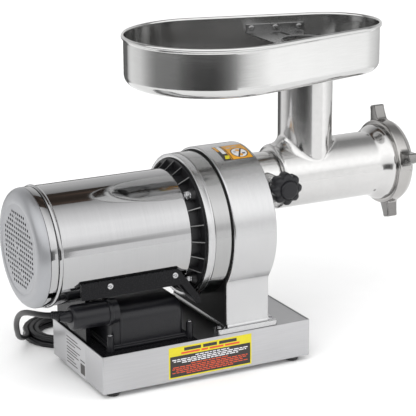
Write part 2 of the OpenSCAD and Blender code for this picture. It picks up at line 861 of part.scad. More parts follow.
module ring_nut() {
    lug_x = [ring_back + 3, ring_back + 18];
    color("silver") difference() {
        union() {
            x_lathe([[0, ring_back], [ring_r - 1, ring_back], [ring_r, ring_back + 1],
                [ring_r, ring_back + 15], [50.5, ring_back + 21], [45.5, front_x], [0, front_x]], 0, head_z);
            for (a = [0:90:270])
                translate([0, 0, head_z]) rotate([a + lug_turn, 0, 0]) translate([lug_x[0], 0, 0])
                    rotate([90, 0, 90]) linear_extrude(lug_x[1] - lug_x[0]) {
                        polygon([[-11, 46], [11, 46], [6.5, 68], [-6.5, 68]]);
                        translate([0, 66]) circle(r = 6.6);
                    }
        }
        x_rod(48 + gap, ring_back - 1, seat_x + 8.8, 0, head_z);
        x_lathe([[0, ring_back], [38, ring_back], [38, front_x - 4], [41, front_x + 0.5],
            [0, front_x + 0.5]], 0, head_z);
    }
}

// ---- Feed pan ------------------------------------------------------------------------------------------

module pan_end(x, r, low, high, round) {
    translate([x, 0, 0]) rotate_extrude($fn = 72) polygon(concat([[0, low]],
        [for (a = [0:22.5:90]) [r - round + round * sin(a), low + round - round * cos(a)]],
        [[r, high], [0, high]]));
}

module pan_shape(inset, low, high, round) {
    hull() {
        pan_end(pan_big_x, pan_big_r - inset, low, high, round);
        pan_end(pan_small_x, pan_small_r - inset, low, high, round);
    }
}

module pan() {
    color("gainsboro") difference() {
        union() {
            pan_shape(rim_out, pan_z, rim_z - 1, 13);
            pan_shape(0, rim_z - rim_h, rim_z, 1.5);
        }
        pan_shape(rim_out + pan_wall, pan_z + pan_wall, rim_z + 1, 12);
        translate([neck_x, 0, pan_z - 1]) cylinder(r = spout_r - pan_wall, h = 20);
    }
}

module feed_spout() {
    color("gainsboro") translate([neck_x, 0, pan_z - 32]) difference() {
        cylinder(r = spout_r, h = 32);
        translate([0, 0, -1]) cylinder(r = spout_r - pan_wall, h = 34);
    }
}

// Ends of the guard's flange along the wall, and how far the wall is from the throat's axis
guard_left = -58;
guard_right = 18;
guard_reach = pan_big_r - rim_out - pan_wall - (neck_x - pan_big_x) * sin(pan_slant) - 0.1;

// Drawing plane of the guard: its Y points at the far wall, square to it
module guard_frame() {
    translate([neck_x, 0, guard_z]) rotate(-pan_slant) children();
}

module pan_guard() {
    slot = 3;
    collar_r = 35;
    color("silver") guard_frame() difference() {
        union() {
            linear_extrude(1.5) difference() {
                union() {
                    polygon([[guard_left, guard_reach], [guard_right, guard_reach], [7, 31], [0, -34],
                        [-24, -36], [-36.5, -28]]);
                    circle(r = collar_r);
                }
                circle(r = 29);
                hull() {
                    translate([-16, 62]) circle(r = slot);
                    translate([-11, 42]) circle(r = slot);
                }
            }
            block([guard_left, guard_reach - 1.5, 0], [guard_right, guard_reach, 12]);
        }
        guard_rivet_places() cylinder(r = 2, h = 5, center = true);
    }
}

module guard_rivet_places() {
    for (x = [-51, -20, 11])
        translate([x, guard_reach + 0.08, 7]) rotate([90, 0, 0]) children();
}

module guard_rivets() {
    color("silver") guard_frame() guard_rivet_places() {
        cylinder(r = 2, h = 1.6);
        translate([0, 0, 1.58]) cylinder(r1 = 4, r2 = 2.6, h = 1.6);
    }
}

// ---- Clamp knob --------------------------------------------------------------------------------------

module knob() {
    lobes = 8;
    color("#1b1b1d") difference() {
        union() {
            translate([knob_x, knob_face + 20, knob_z]) rotate([90, 0, 0]) linear_extrude(18)
                difference() {
                    circle(r = knob_r);
                    for (i = [0:lobes - 1])
                        rotate((i + 0.5) * 360 / lobes) translate([knob_r + 2.6, 0]) circle(r = 5);
                }
            y_rod(11, knob_x, knob_z, knob_face, knob_face + 3);
            y_rod(11, knob_x, knob_z, knob_face + 19, knob_back);
        }
        y_rod(stud_r + run, knob_x, knob_z, knob_face + 8, knob_back + 1);
    }
}

module knob_stud() {
    color("silver")
        y_rod(stud_r, knob_x, knob_z, knob_face + 8.5, -28.6);
}

base_frame();
deck_rear();
deck_front();
cross_plate();
floor_plate();
feet();
foot_screws();
labels();
capacitor_box();
cover_screws();
capacitors();
terminal_block();
cord_gland();
cord_lead();
cord_coil();
cord_tail();
cord_tie();
plug();
motor_cradle();
motor_cover();
cap_band();
rear_cap();
rear_shield();
stator();
windings();
motor_bearings();
end_bell();
tie_nuts();
adapter_ring();
gasket();
gear_housing();
pedestal_bolts();
gear_bearings();
oil_seal();
head_socket();
switch_body();
reset_body();
rocker();
reset_button();
motor_shaft();
rotor_core();
cooling_fan();
lay_shaft();
lay_gear();
output_shaft();
output_gear();
auger();
auger_flight();
knife();
head_casting();
head_bush();
plate_key();
cutting_plate();
ring_nut();
pan();
feed_spout();
pan_guard();
guard_rivets();
knob();
knob_stud();
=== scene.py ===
import json
import math

import bmesh
import bpy
from mathutils import Matrix, Vector, geometry


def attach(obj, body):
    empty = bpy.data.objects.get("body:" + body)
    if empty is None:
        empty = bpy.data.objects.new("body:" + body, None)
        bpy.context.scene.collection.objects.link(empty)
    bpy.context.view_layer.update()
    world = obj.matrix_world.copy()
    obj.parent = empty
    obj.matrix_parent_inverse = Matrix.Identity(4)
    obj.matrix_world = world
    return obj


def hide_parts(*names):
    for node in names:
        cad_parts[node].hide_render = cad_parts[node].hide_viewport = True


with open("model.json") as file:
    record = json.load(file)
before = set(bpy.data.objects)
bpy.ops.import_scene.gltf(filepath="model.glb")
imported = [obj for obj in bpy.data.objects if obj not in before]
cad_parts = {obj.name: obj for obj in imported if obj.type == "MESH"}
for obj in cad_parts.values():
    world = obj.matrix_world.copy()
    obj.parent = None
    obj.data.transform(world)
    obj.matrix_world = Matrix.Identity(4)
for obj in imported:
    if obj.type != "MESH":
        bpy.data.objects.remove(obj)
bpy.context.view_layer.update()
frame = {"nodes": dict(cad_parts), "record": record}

MM = 0.001
RECORD = frame["record"]
SLOT_OF = {s["node"]: s["material_slot"] for s in RECORD["subparts"]}
BODY_OF = {n: b for b, members in RECORD["behaviour"]["bodies"].items() for n in members}

# Stations in millimetres, the same as the CAD source's
MOTOR_Z, HEAD_Z = 176, 220
CAP_X, SEAM_X, BEAD_X = -259, -246.7, -234.4
COVER_END, BELL_X, RING_X, BAND_X = -68.7, -56, -54.3, -45.8
GASKET_X, CASE_X, CASE_FRONT, SOCKET_END = -23.5, -22.3, 35.5, 76
BARREL_X, NECK_X, RING_BACK, SEAT_X, BARREL_END, FRONT_X = 81, 126.3, 234, 242, 249, 259
COVER_R, CASE_R, BARREL_R, NECK_R, THROAT_R, RING_R = 71.5, 92.6, 40.8, 33.9, 30.5, 53.5
BASE_X, BASE_END, BASE_HALF, BASE_BOTTOM, BASE_TOP, DECK_Z = -189, 91, 77, 7, 54, 53
PAN_Z, GUARD_Z = 348, 386
NUT_R = 73


# ---- Camera, studio and floor -------------------------------------------------------------------

def look(yaw, pitch, roll):
    """A camera's turn from its heading right of +Y, its dip and its roll, in degrees."""
    yaw, pitch, roll = (math.radians(a) for a in (yaw, pitch, roll))
    ahead = Vector((math.sin(yaw) * math.cos(pitch), math.cos(yaw) * math.cos(pitch),
                    -math.sin(pitch)))
    right = Vector((math.cos(yaw), -math.sin(yaw), 0))
    up = right.cross(ahead)
    right, up = (math.cos(roll) * right + math.sin(roll) * up,
                 math.cos(roll) * up - math.sin(roll) * right)
    return Matrix((right, up, -ahead)).transposed().to_4x4()


camera_data = bpy.data.cameras.new("camera")
camera_data.lens = 145.9
camera_data.sensor_width = 36
camera = bpy.data.objects.new("camera", camera_data)
bpy.context.scene.collection.objects.link(camera)
camera.matrix_world = Matrix.Translation((-0.9180, -1.7663, 0.7700)) @ look(27.2003, 16.2410, -0.3688)
bpy.context.scene.camera = camera
bpy.context.scene.view_settings.view_transform = "Standard"


def area_light(name, at, target, size, power):
    data = bpy.data.lights.new(name, "AREA")
    data.shape = "RECTANGLE"
    data.size, data.size_y = size
    data.energy = power
    light = bpy.data.objects.new(name, data)
    bpy.context.scene.collection.objects.link(light)
    light.location = at
    light.rotation_euler = (Vector(target) - Vector(at)).to_track_quat("-Z", "Y").to_euler()
    light.visible_glossy = False
    return light


area_light("key", (-1.3, -1.6, 2.2), (0, 0, 0.2), (1.4, 1.4), 22)
area_light("overhead", (0.5, 1.0, 3.0), (0.5, 1.0, 0), (7, 7), 68)


def ramp_stops(ramp, stops):
    """Sets a color ramp's stops from (position, grey or colour) pairs."""
    ramp.interpolation = "LINEAR"
    while len(ramp.elements) > 1:
        ramp.elements.remove(ramp.elements[-1])
    for i, (at, value) in enumerate(stops):
        e = ramp.elements[0] if i == 0 else ramp.elements.new(at)
        e.position = at
        e.color = (*value, 1) if isinstance(value, tuple) else (value, value, value, 1)


def blank_tree(owner):
    """An empty node tree for a material or a world."""
    owner.use_nodes = True
    owner.node_tree.nodes.clear()
    return owner.node_tree


def new_node(tree, kind, inputs=None, **settings):
    """A shader node with its settings and its unlinked inputs."""
    made = tree.nodes.new("ShaderNode" + kind)
    for key, value in settings.items():
        setattr(made, key, value)
    for key, value in (inputs or {}).items():
        made.inputs[key].default_value = value
    return made


def wire(tree, *joins):
    """Links rows of (node, output, node, input)."""
    for start, out, end, into in joins:
        tree.links.new(start.outputs[out], end.inputs[into])


def build_world():
    """A broad softbox on the near side, with a dimmer gap between it and the far backdrop."""
    world = bpy.data.worlds.new("studio")
    bpy.context.scene.world = world
    tree = blank_tree(world)
    coord, split = new_node(tree, "TexCoord"), new_node(tree, "SeparateXYZ")
    far = new_node(tree, "VectorMath", {1: (0.457, 0.889, 0)}, operation="DOT_PRODUCT")
    angle = new_node(tree, "Math", operation="ARCTAN2")
    share = new_node(tree, "Math", {1: math.pi}, operation="DIVIDE")
    ramp = new_node(tree, "ValToRGB")
    peak = 1.62
    ramp_stops(ramp.color_ramp, [(at, value / peak) for at, value in (
        (0.0, 0.80), (0.155, 0.72), (0.245, 0.48), (0.29, 0.30), (0.36, 0.32), (0.42, 0.40), (0.49, 0.85),
        (0.555, 1.15), (0.69, 1.60), (0.80, 1.62), (0.87, 1.42), (0.955, 1.2), (1.0, 1.1))])
    back, out = new_node(tree, "Background", {"Strength": peak}), new_node(tree, "OutputWorld")
    wire(tree, (coord, "Generated", far, 0), (coord, "Generated", split, 0), (split, "Z", angle, 0),
         (far, "Value", angle, 1), (angle, 0, share, 0), (share, 0, ramp, 0), (ramp, 0, back, "Color"),
         (back, 0, out, "Surface"))


build_world()


# ---- Materials --------------------------------------------------------------------------------------

def finish(name, color, metallic=0.0, rough=0.4, grain=(60, 60, 60), bump=0.1, depth=0.02,
           vary=0.06, rough_vary=0.06, cloud=9, coat=0.0, specular=0.5, mottle=0.05):
    """A procedural finish: fine grain stretched by its three scales, and slow cloudy variation.
    grain is in cycles a metre along X, Y and Z, and depth is the bump's height in millimetres."""
    m = bpy.data.materials.new(name)
    m.use_nodes = True
    tree = m.node_tree
    shader = tree.nodes["Principled BSDF"]
    shader.inputs["Metallic"].default_value = metallic
    shader.inputs["Coat Weight"].default_value = coat
    shader.inputs["Coat Roughness"].default_value = 0.12
    shader.inputs["Specular IOR Level"].default_value = specular
    coord = new_node(tree, "TexCoord")
    scale = new_node(tree, "Mapping", {"Scale": grain})
    fine = new_node(tree, "TexNoise", {"Scale": 1.0, "Detail": 6.0})
    slow = new_node(tree, "TexNoise", {"Scale": cloud, "Detail": 3.0})
    spread = vary + mottle
    both = new_node(tree, "Math", {1: vary / max(spread, 1e-6)}, operation="MULTIPLY_ADD")
    weighed = new_node(tree, "Math", {1: mottle / max(spread, 1e-6)}, operation="MULTIPLY")
    tint = new_node(tree, "ValToRGB")
    dark = tuple(max(0.0, c * (1 - 2 * spread)) for c in color)
    light = tuple(min(1.0, c * (1 + 2 * spread)) for c in color)
    ramp_stops(tint.color_ramp, [(0.15, dark), (0.85, light)])
    gloss = new_node(tree, "MapRange", {"From Min": 0.3, "From Max": 0.7,
                                        "To Min": max(0.02, rough - rough_vary),
                                        "To Max": min(1.0, rough + rough_vary)})
    relief = new_node(tree, "Bump", {"Strength": bump, "Distance": depth * MM})
    wire(tree, (coord, "Object", scale, "Vector"), (scale, "Vector", fine, "Vector"),
         (coord, "Object", slow, "Vector"), (slow, "Fac", weighed, 0), (fine, "Fac", both, 0),
         (weighed, 0, both, 2), (both, 0, tint, 0), (tint, 0, shader, "Base Color"),
         (both, 0, gloss, "Value"),
         (gloss, "Result", shader, "Roughness"), (fine, "Fac", relief, "Height"),
         (relief, "Normal", shader, "Normal"))
    return m


LOOKS = {}


def surface(name, *values, **more):
    LOOKS[name] = finish(name, *values, **more)


surface("base_steel", (0.50, 0.50, 0.51), 1, 0.36, (25, 900, 900), 0.14, 0.015, 0.035, 0.05, mottle=0.03)
surface("zinc_steel", (0.46, 0.46, 0.47), 1, 0.22, (350, 350, 350), 0.12, 0.02, 0.05, 0.08)
surface("black_paint", (0.005, 0.005, 0.006), 0, 0.26, (700, 700, 700), 0.2, 0.04, 0.1, 0.06, specular=0.16)
surface("black_rubber", (0.018, 0.018, 0.018), 0, 0.62, (900, 900, 900), 0.5, 0.05, 0.12, 0.1)
surface("cord_rubber", (0.008, 0.008, 0.009), 0, 0.34, (500, 500, 500), 0.25, 0.04, 0.1, 0.08, specular=0.35)
surface("black_plastic", (0.008, 0.008, 0.010), 0, 0.32, (1300, 1300, 1300), 0.3, 0.04, 0.1, 0.08,
        specular=0.35)
surface("white_plastic", (0.80, 0.78, 0.70), 0, 0.35, (200, 200, 200), 0.1)
surface("mirror_steel", (0.44, 0.44, 0.445), 1, 0.065, (500, 12, 12), 0.03, 0.006, 0.015, 0.02, mottle=0.02)
surface("cap_steel", (0.36, 0.365, 0.38), 0.8, 0.36, (1500, 1500, 1500), 0.2, 0.02, 0.04, 0.05)
surface("cast_aluminium", (0.54, 0.54, 0.545), 1, 0.24, (700, 60, 40), 0.05, 0.01, 0.02, 0.03, mottle=0.03)
surface("lamination_steel", (0.30, 0.30, 0.31), 0.9, 0.5, (2000, 30, 30), 0.6, 0.1, 0.2, 0.1)
surface("copper_wire", (0.60, 0.27, 0.12), 1, 0.38, (900, 200, 200), 0.7, 0.2, 0.2, 0.1)
surface("bearing_steel", (0.55, 0.56, 0.57), 1, 0.25, (800, 60, 60), 0.15)
surface("black_casting", (0.009, 0.009, 0.010), 0, 0.38, (400, 400, 400), 0.4, 0.1, 0.15, 0.1, specular=0.35)
# Black rubber, darkened further as painted shade where the gasket sheet covers the shadowed rear face of the
# pedestal
surface("gasket_rubber", (0.004, 0.004, 0.004), 0, 0.5, (500, 500, 500), 0.3, specular=0.2)
surface("polished_steel", (0.61, 0.605, 0.60), 1, 0.13, (160, 160, 160), 0.05, 0.02, 0.02, 0.035, mottle=0.03)
surface("red_plastic", (0.42, 0.015, 0.012), 0, 0.25, (900, 900, 900), 0.1)
surface("bronze", (0.55, 0.38, 0.18), 1, 0.4, (900, 900, 900), 0.3)
surface("pan_steel", (0.60, 0.60, 0.595), 1, 0.12, (40, 40, 700), 0.05, 0.01, 0.02, 0.035, mottle=0.03)

LABEL = {name: finish("label_" + name, color, metal, rough, (300, 300, 300), 0.05, vary=vary, mottle=mottle)
         for name, color, metal, rough, vary, mottle in (
             ("yellow", (0.60, 0.52, 0.008), 0, 0.32, 0.03, 0.02),
             ("orange", (0.74, 0.34, 0.010), 0, 0.30, 0.03, 0.02),
             ("ink", (0.022, 0.018, 0.016), 0, 0.34, 0.06, 0.05),
             ("red", (0.60, 0.07, 0.02), 0, 0.34, 0.06, 0.05),
             ("white", (0.74, 0.74, 0.76), 0, 0.32, 0.02, 0.02),
             ("silver", (0.50, 0.50, 0.51), 0.5, 0.36, 0.02, 0.02))}
VANE_EDGE = finish("vane_edge", (0.20, 0.20, 0.20), 0.8, 0.42, (300, 300, 300), 0.2, 0.03, 0.1, 0.1)
BRUSHED_FACE = finish("brushed_face", (0.78, 0.78, 0.785), 1, 0.3, (60, 500, 500), 0.12, 0.015, 0.04, 0.06)
GUARD_STEEL = finish("guard_steel", (0.25, 0.25, 0.25), 1, 0.28, (300, 60, 300), 0.03, 0.008, 0.02, 0.03)
BAND_STEEL = finish("band_steel", (0.40, 0.40, 0.40), 1, 0.14, (600, 40, 40), 0.03, 0.008, 0.02, 0.03,
                    mottle=0.03)
LUG_STEEL = finish("lug_steel", (0.24, 0.235, 0.23), 1, 0.2, (160, 160, 160), 0.05, 0.02, 0.02, 0.035,
                   mottle=0.03)
# The pan's inner faces: the same steel painted darker, as painted shade inside the pan
PAN_SHADED_INSIDE = finish("pan_inside_painted_shade", (0.48, 0.48, 0.477), 1, 0.16, (40, 40, 700), 0.05, 0.01, 0.02, 0.035,
                    mottle=0.03)
RING_STEEL = finish("ring_steel", (0.44, 0.43, 0.42), 1, 0.15, (160, 160, 160), 0.05, 0.02, 0.02, 0.035,
                    mottle=0.03)


# ---- Mesh helpers -----------------------------------------------------------------------------------

def spin(degrees, axis):
    return Matrix.Rotation(math.radians(degrees), 4, axis)


TO_X = spin(90, "Y")
TO_MINUS_Y = spin(90, "X")
# Carries an outline in (Y, Z) along X
ALONG_X = Matrix(((0, 0, 1, 0), (1, 0, 0, 0), (0, 1, 0, 0), (0, 0, 0, 1)))


def shift(x=0, y=0, z=0):
    return Matrix.Translation((x, y, z))


def about_x(y=0, z=MOTOR_Z):
    """Local height runs along +X on the axis at (y, z)."""
    return shift(0, y, z) @ TO_X


class Shape:
    """Vertices in millimetres, and faces with the number of their material."""

    def __init__(self):
        self.verts, self.faces, self.mats = [], [], []

    def add(self, verts, faces, mat=0, matrix=None):
        base = len(self.verts)
        self.verts += [matrix @ Vector(v) if matrix else Vector(v) for v in verts]
        self.faces += [[base + i for i in f] for f in faces]
        self.mats += [mat] * len(faces)
        return self

    def lathe(self, profile, matrix, steps=128, closed=True, mat=0):
        """Turns (radius, height) points about the local Z; radius 0 closes to a point."""
        verts, rings = [], []
        for r, h in profile:
            if r < 1e-6:
                rings.append([len(verts)])
                verts.append((0, 0, h))
            else:
                rings.append(range(len(verts), len(verts) + steps))
                verts += [(r * math.cos(k * math.tau / steps), r * math.sin(k * math.tau / steps), h)
                          for k in range(steps)]
        faces = []
        for a, b in zip(rings, rings[1:] + (rings[:1] if closed else [])):
            for k in range(steps):
                n = (k + 1) % steps
                corners = ([a[0]] if len(a) == 1 else [a[k], a[n]]) + \
                    ([b[0]] if len(b) == 1 else [b[n], b[k]])
                if len(corners) > 2:
                    faces.append(corners)
        return self.add(verts, faces, mat, matrix)

    def skin(self, levels, matrix=None, caps=True, closed=False, mat=0, cap_mat=None):
        """Joins loops of equal length; each level is (2-D loop, height)."""
        verts, n = [], len(levels[0][0])
        for loop, h in levels:
            verts += [(p[0], p[1], h) for p in loop]
        faces = []
        count = len(levels)
        for i in range(count if closed else count - 1):
            a, b = i * n, ((i + 1) % count) * n
            faces += [(a + k, a + (k + 1) % n, b + (k + 1) % n, b + k) for k in range(n)]
        self.add(verts, faces, mat, matrix)
        if caps and not closed:
            base = len(self.verts) - len(verts)
            self.faces += [list(range(base + n - 1, base - 1, -1)),
                           list(range(base + (count - 1) * n, base + count * n))]
            self.mats += [mat if cap_mat is None else cap_mat] * 2
        return self

    def block(self, low, high, round_by=0.0, mat=0, matrix=None, seg=3):
        """A box whose edges along Z and at both ends are rounded."""
        cx, cy = (low[0] + high[0]) / 2, (low[1] + high[1]) / 2
        hx, hy = (high[0] - low[0]) / 2, (high[1] - low[1]) / 2
        return self.rounded_prism(oblong(hx, hy, round_by, (cx, cy)), low[2], high[2], round_by,
                                  matrix, mat=mat, seg=seg)

    def rounded_prism(self, loop, z0, z1, r, matrix=None, mat=0, cap_mat=None, seg=3):
        """An outline carried from z0 to z1 with its end edges rounded by r."""
        if r <= 0:
            return self.skin([(loop, z0), (loop, z1)], matrix, mat=mat, cap_mat=cap_mat)
        turn = [(r - r * math.sin(a), r - r * math.cos(a))
                for a in (k * math.pi / 2 / seg for k in range(seg + 1))]
        low = [(offset(loop, -i), z0 + h) for i, h in turn]
        high = [(offset(loop, -i), z1 - h) for i, h in reversed(turn)]
        # Loops close to the roundings keep the long faces flat-shaded
        keep = min(0.6, (z1 - z0 - 2 * r) / 3)
        if keep > 0.05:
            low.append((loop, z0 + r + keep))
            high.insert(0, (loop, z1 - r - keep))
        return self.skin(low + high, matrix, mat=mat, cap_mat=cap_mat)

    def sheet(self, outer, holes, z0, z1, matrix=None, mat=0):
        """A flat plate of even thickness with holes through it."""
        flat, faces, loops = filled(outer, holes)
        count = len(flat)
        verts = [(p[0], p[1], z0) for p in flat] + [(p[0], p[1], z1) for p in flat]
        made = [tuple(reversed(f)) for f in faces] + [tuple(i + count for i in f) for f in faces]
        for ring in loops:
            made += [(a, b, b + count, a + count) for a, b in ring]
        return self.add(verts, made, mat, matrix)


def encloses(loop, point):
    """Whether the point lies inside the closed outline."""
    inside = False
    for (ax, ay), (bx, by) in zip(loop, [*loop[1:], loop[0]]):
        if (ay > point[1]) != (by > point[1]) and point[0] < ax + (bx - ax) * (point[1] - ay) / (by - ay):
            inside = not inside
    return inside


def filled(outer, holes):
    """Triangles between an outline and its holes: the points, the faces, and each loop's edges."""
    points, edges, loops = [], [], []
    for loop in [outer, *holes]:
        base = len(points)
        points += [Vector((p[0], p[1])) for p in loop]
        loops.append([(base + k, base + (k + 1) % len(loop)) for k in range(len(loop))])
        edges += loops[-1]
    flat, _, faces, *_ = geometry.delaunay_2d_cdt(points, edges, [], 1, 1e-5)
    middles = [sum((flat[i] for i in f), Vector((0, 0))) / len(f) for f in faces]
    return flat, [f for f, m in zip(faces, middles) if not any(encloses(hole, m) for hole in holes)], loops


def oblong(hx, hy, r, centre=(0, 0), seg=5):
    """A rectangle with round corners, anticlockwise."""
    r = min(r, hx - 1e-3, hy - 1e-3)
    if r <= 0:
        return [(centre[0] + sx * hx, centre[1] + sy * hy) for sx, sy in ((-1, -1), (1, -1), (1, 1), (-1, 1))]
    points = []
    for i, (sx, sy) in enumerate(((1, -1), (1, 1), (-1, 1), (-1, -1))):
        for k in range(seg + 1):
            a = math.radians(-90 + 90 * i + 90 * k / seg)
            points.append((centre[0] + sx * (hx - r) + r * math.cos(a),
                           centre[1] + sy * (hy - r) + r * math.sin(a)))
    return points


def circle(r, at=(0, 0), steps=48):
    return [(at[0] + r * math.cos(k * math.tau / steps),
             at[1] + r * math.sin(k * math.tau / steps)) for k in range(steps)]


def bow(x, y, r, degrees, rise=None):
    """Points round (x, y) at those angles; rise is the radius along y where it differs."""
    return [(x + r * math.cos(math.radians(a)), y + (rise or r) * math.sin(math.radians(a))) for a in degrees]


def offset(loop, by):
    """Moves an anticlockwise outline outwards by that distance."""
    if abs(by) < 1e-9:
        return list(loop)
    moved, n = [], len(loop)
    for i in range(n):
        p, a, b = Vector(loop[i]), Vector(loop[i - 1]), Vector(loop[(i + 1) % n])
        d1, d2 = (p - a), (b - p)
        if d1.length < 1e-9 or d2.length < 1e-9:
            moved.append(tuple(p))
            continue
        n1, n2 = Vector((d1.y, -d1.x)).normalized(), Vector((d2.y, -d2.x)).normalized()
        bis = n1 + n2
        bis = bis / max(bis.dot(n1), 0.3) if bis.length > 1e-6 else n1
        moved.append(tuple(p + bis * by))
    return moved


def rounded(points, radii, seg=5):
    """Replaces a closed outline's corners by arcs; radii is one number or one per corner."""
    made, n = [], len(points)
    for i, p in enumerate(points):
        r = radii[i] if isinstance(radii, (list, tuple)) else radii
        p = Vector(p)
        a, b = Vector(points[i - 1]) - p, Vector(points[(i + 1) % n]) - p
        corner = a.angle(b)
        if r <= 0 or corner > math.pi - 1e-3:
            made.append(tuple(p))
            continue
        reach = min(r / math.tan(corner / 2), 0.48 * a.length, 0.48 * b.length)
        r = reach * math.tan(corner / 2)
        a, b = a.normalized(), b.normalized()
        centre = p + (a + b).normalized() * (r / math.sin(corner / 2))
        s, e = p + a * reach - centre, p + b * reach - centre
        sweep = math.atan2(s.x * e.y - s.y * e.x, s.dot(e))
        for k in range(seg + 1):
            t = sweep * k / seg
            made.append((centre.x + s.x * math.cos(t) - s.y * math.sin(t),
                         centre.y + s.x * math.sin(t) + s.y * math.cos(t)))
    return made


def raw(shape, name):
    """A linked object from a shape, in metres, with its normals made to face outwards."""
    mesh = bpy.data.meshes.new(name)
    mesh.from_pydata([v * MM for v in shape.verts], [], shape.faces)
    mesh.polygons.foreach_set("material_index", shape.mats)
    bm = bmesh.new()
    bm.from_mesh(mesh)
    bmesh.ops.remove_doubles(bm, verts=bm.verts, dist=1e-6)
    bmesh.ops.recalc_face_normals(bm, faces=bm.faces)
    bm.to_mesh(mesh)
    bm.free()
    obj = bpy.data.objects.new(name, mesh)
    bpy.context.scene.collection.objects.link(obj)
    return obj


def solid(target, others, operation):
    """Exact boolean of target with each of the others, which are used up."""
    for o in others:
        m = target.modifiers.new("solid", "BOOLEAN")
        m.operation, m.solver, m.object = operation, "EXACT", o
    evaluated = target.evaluated_get(bpy.context.evaluated_depsgraph_get())
    mesh = bpy.data.meshes.new_from_object(evaluated)
    target.modifiers.clear()
    target.data = mesh
    for o in others:
        bpy.data.objects.remove(o)
    return target


def place(obj, nodes, materials=None, bevel=0.0, sharp=32):
    """Gives a piece its finish and its body, and lets it stand for its CAD nodes."""
    first = nodes[0]
    mesh = obj.data
    if materials is None:
        materials = [LOOKS[SLOT_OF[first]]]
    numbers = [min(p.material_index, len(materials) - 1) for p in mesh.polygons]
    mesh.materials.clear()
    for m in materials:
        mesh.materials.append(m)
    mesh.polygons.foreach_set("material_index", numbers)
    mesh.shade_smooth()
    mesh.set_sharp_from_angle(angle=math.radians(sharp))
    if bevel:
        m = obj.modifiers.new("edges", "BEVEL")
        m.width, m.segments = bevel * MM, 2
        m.limit_method, m.angle_limit = "ANGLE", math.radians(sharp)
        m.harden_normals = True
    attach(obj, BODY_OF[first])
    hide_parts(*nodes)
    return obj


def adopt(node, bevel):
    """A finer copy of a CAD node: welded, its flat faces made whole, its edges rounded."""
    bm = bmesh.new()
    bm.from_mesh(frame["nodes"][node].data)
    bmesh.ops.remove_doubles(bm, verts=bm.verts, dist=2e-6)
    bmesh.ops.dissolve_limit(bm, angle_limit=math.radians(0.5), verts=bm.verts, edges=bm.edges)
    mesh = bpy.data.meshes.new(node + "_piece")
    bm.to_mesh(mesh)
    bm.free()
    obj = bpy.data.objects.new(node + "_piece", mesh)
    bpy.context.scene.collection.objects.link(obj)
    return place(obj, [node], bevel=bevel)


# ---- Cord: a route of 1.76 m, which the plug brings to 1.8 m ------------------------------------------

CORD_D = 7
LEAD = [(-217, -46, 100), (-225, -38, 100), (-232, -31, 99.5), (-238, -22, 98), (-242, -10, 96),
        (-244, 3, 93.5), (-245, 17, 90), (-245, 31, 85), (-244, 45, 78), (-242, 58, 69),
        (-239, 70, 59), (-235, 81, 48.5), (-230, 92, 38.5), (-225, 103, 29.5), (-218.5, 114, 22),
        (-210.5, 125, 16.5), (-203, 136, 13), (-196.8, 147, 11.2)]
TAIL = [(-138, 200.6, 3.5), (-122, 199.7, 3.5), (-101, 194, 3.5), (-84, 182, 3.8), (-68, 167, 5),
        (-50, 155, 7.5), (-38, 151, 9.5), (-30, 150, 10)]
COIL_AT = (-145, 152)
COIL_TURNS = 5 + 82 / 360
COIL_START = 172
LOW, HIGH = CORD_D / 2 + 0.02, 1.5 * CORD_D + 0.07


def eased(t):
    t = min(max(t, 0.0), 1.0)
    return t * t * (3 - 2 * t)


def coil_point(turn):
    """A place on the coil after that many turns: three rows inwards on top, then outwards below."""
    rows = [48.7, 41.65, 34.6]
    r = rows[0]
    for start, low, high in ((5 / 6, 0, 1), (11 / 6, 1, 2)):
        r += (rows[high] - rows[low]) * eased((turn - start) * 6)
    for start, low, high in ((10 / 3, 2, 1), (13 / 3, 1, 0)):
        r += (rows[high] - rows[low]) * eased((turn - start) * 6)
    z = HIGH + (LOW - HIGH) * eased((turn - 2.5) * 5)
    a = math.radians(COIL_START - 360 * turn)
    return Vector((COIL_AT[0] + r * math.cos(a), COIL_AT[1] + r * math.sin(a), z))


def smooth_route(points, parts=4):
    """Catmull-Rom through the points."""
    p = [Vector(q) for q in points]
    made = []
    for i in range(len(p) - 1):
        a, b = p[max(i - 1, 0)], p[i]
        c, d = p[i + 1], p[min(i + 2, len(p) - 1)]
        for k in range(parts):
            t = k / parts
            made.append(0.5 * (2 * b + (c - a) * t + (2 * a - 5 * b + 4 * c - d) * t * t
                               + (3 * b - a - 3 * c + d) * t ** 3))
    return made + [p[-1]]


COIL_STEPS = 24
coil = [coil_point(i / COIL_STEPS) for i in range(int(COIL_TURNS * COIL_STEPS))] + [coil_point(COIL_TURNS)]
lead = smooth_route(LEAD + coil[:3])[:-8]
tail = smooth_route(coil[-3:] + TAIL)[8:]
cord_path = lead + coil[1:-1] + tail

cord_data = bpy.data.curves.new("mains_cord", "CURVE")
cord_data.dimensions = "3D"
line = cord_data.splines.new("POLY")
line.points.add(len(cord_path) - 1)
for point, at in zip(line.points, cord_path):
    point.co = (*(at * MM), 1)
cord_data.bevel_depth = CORD_D / 2 * MM
cord_data.bevel_resolution = 5
cord_data.use_fill_caps = True
cord_data.materials.append(LOOKS["cord_rubber"])
cord_curve = bpy.data.objects.new("mains_cord", cord_data)
bpy.context.scene.collection.objects.link(cord_curve)
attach(cord_curve, "chassis")
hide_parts("cord_lead", "cord_coil", "cord_tail")


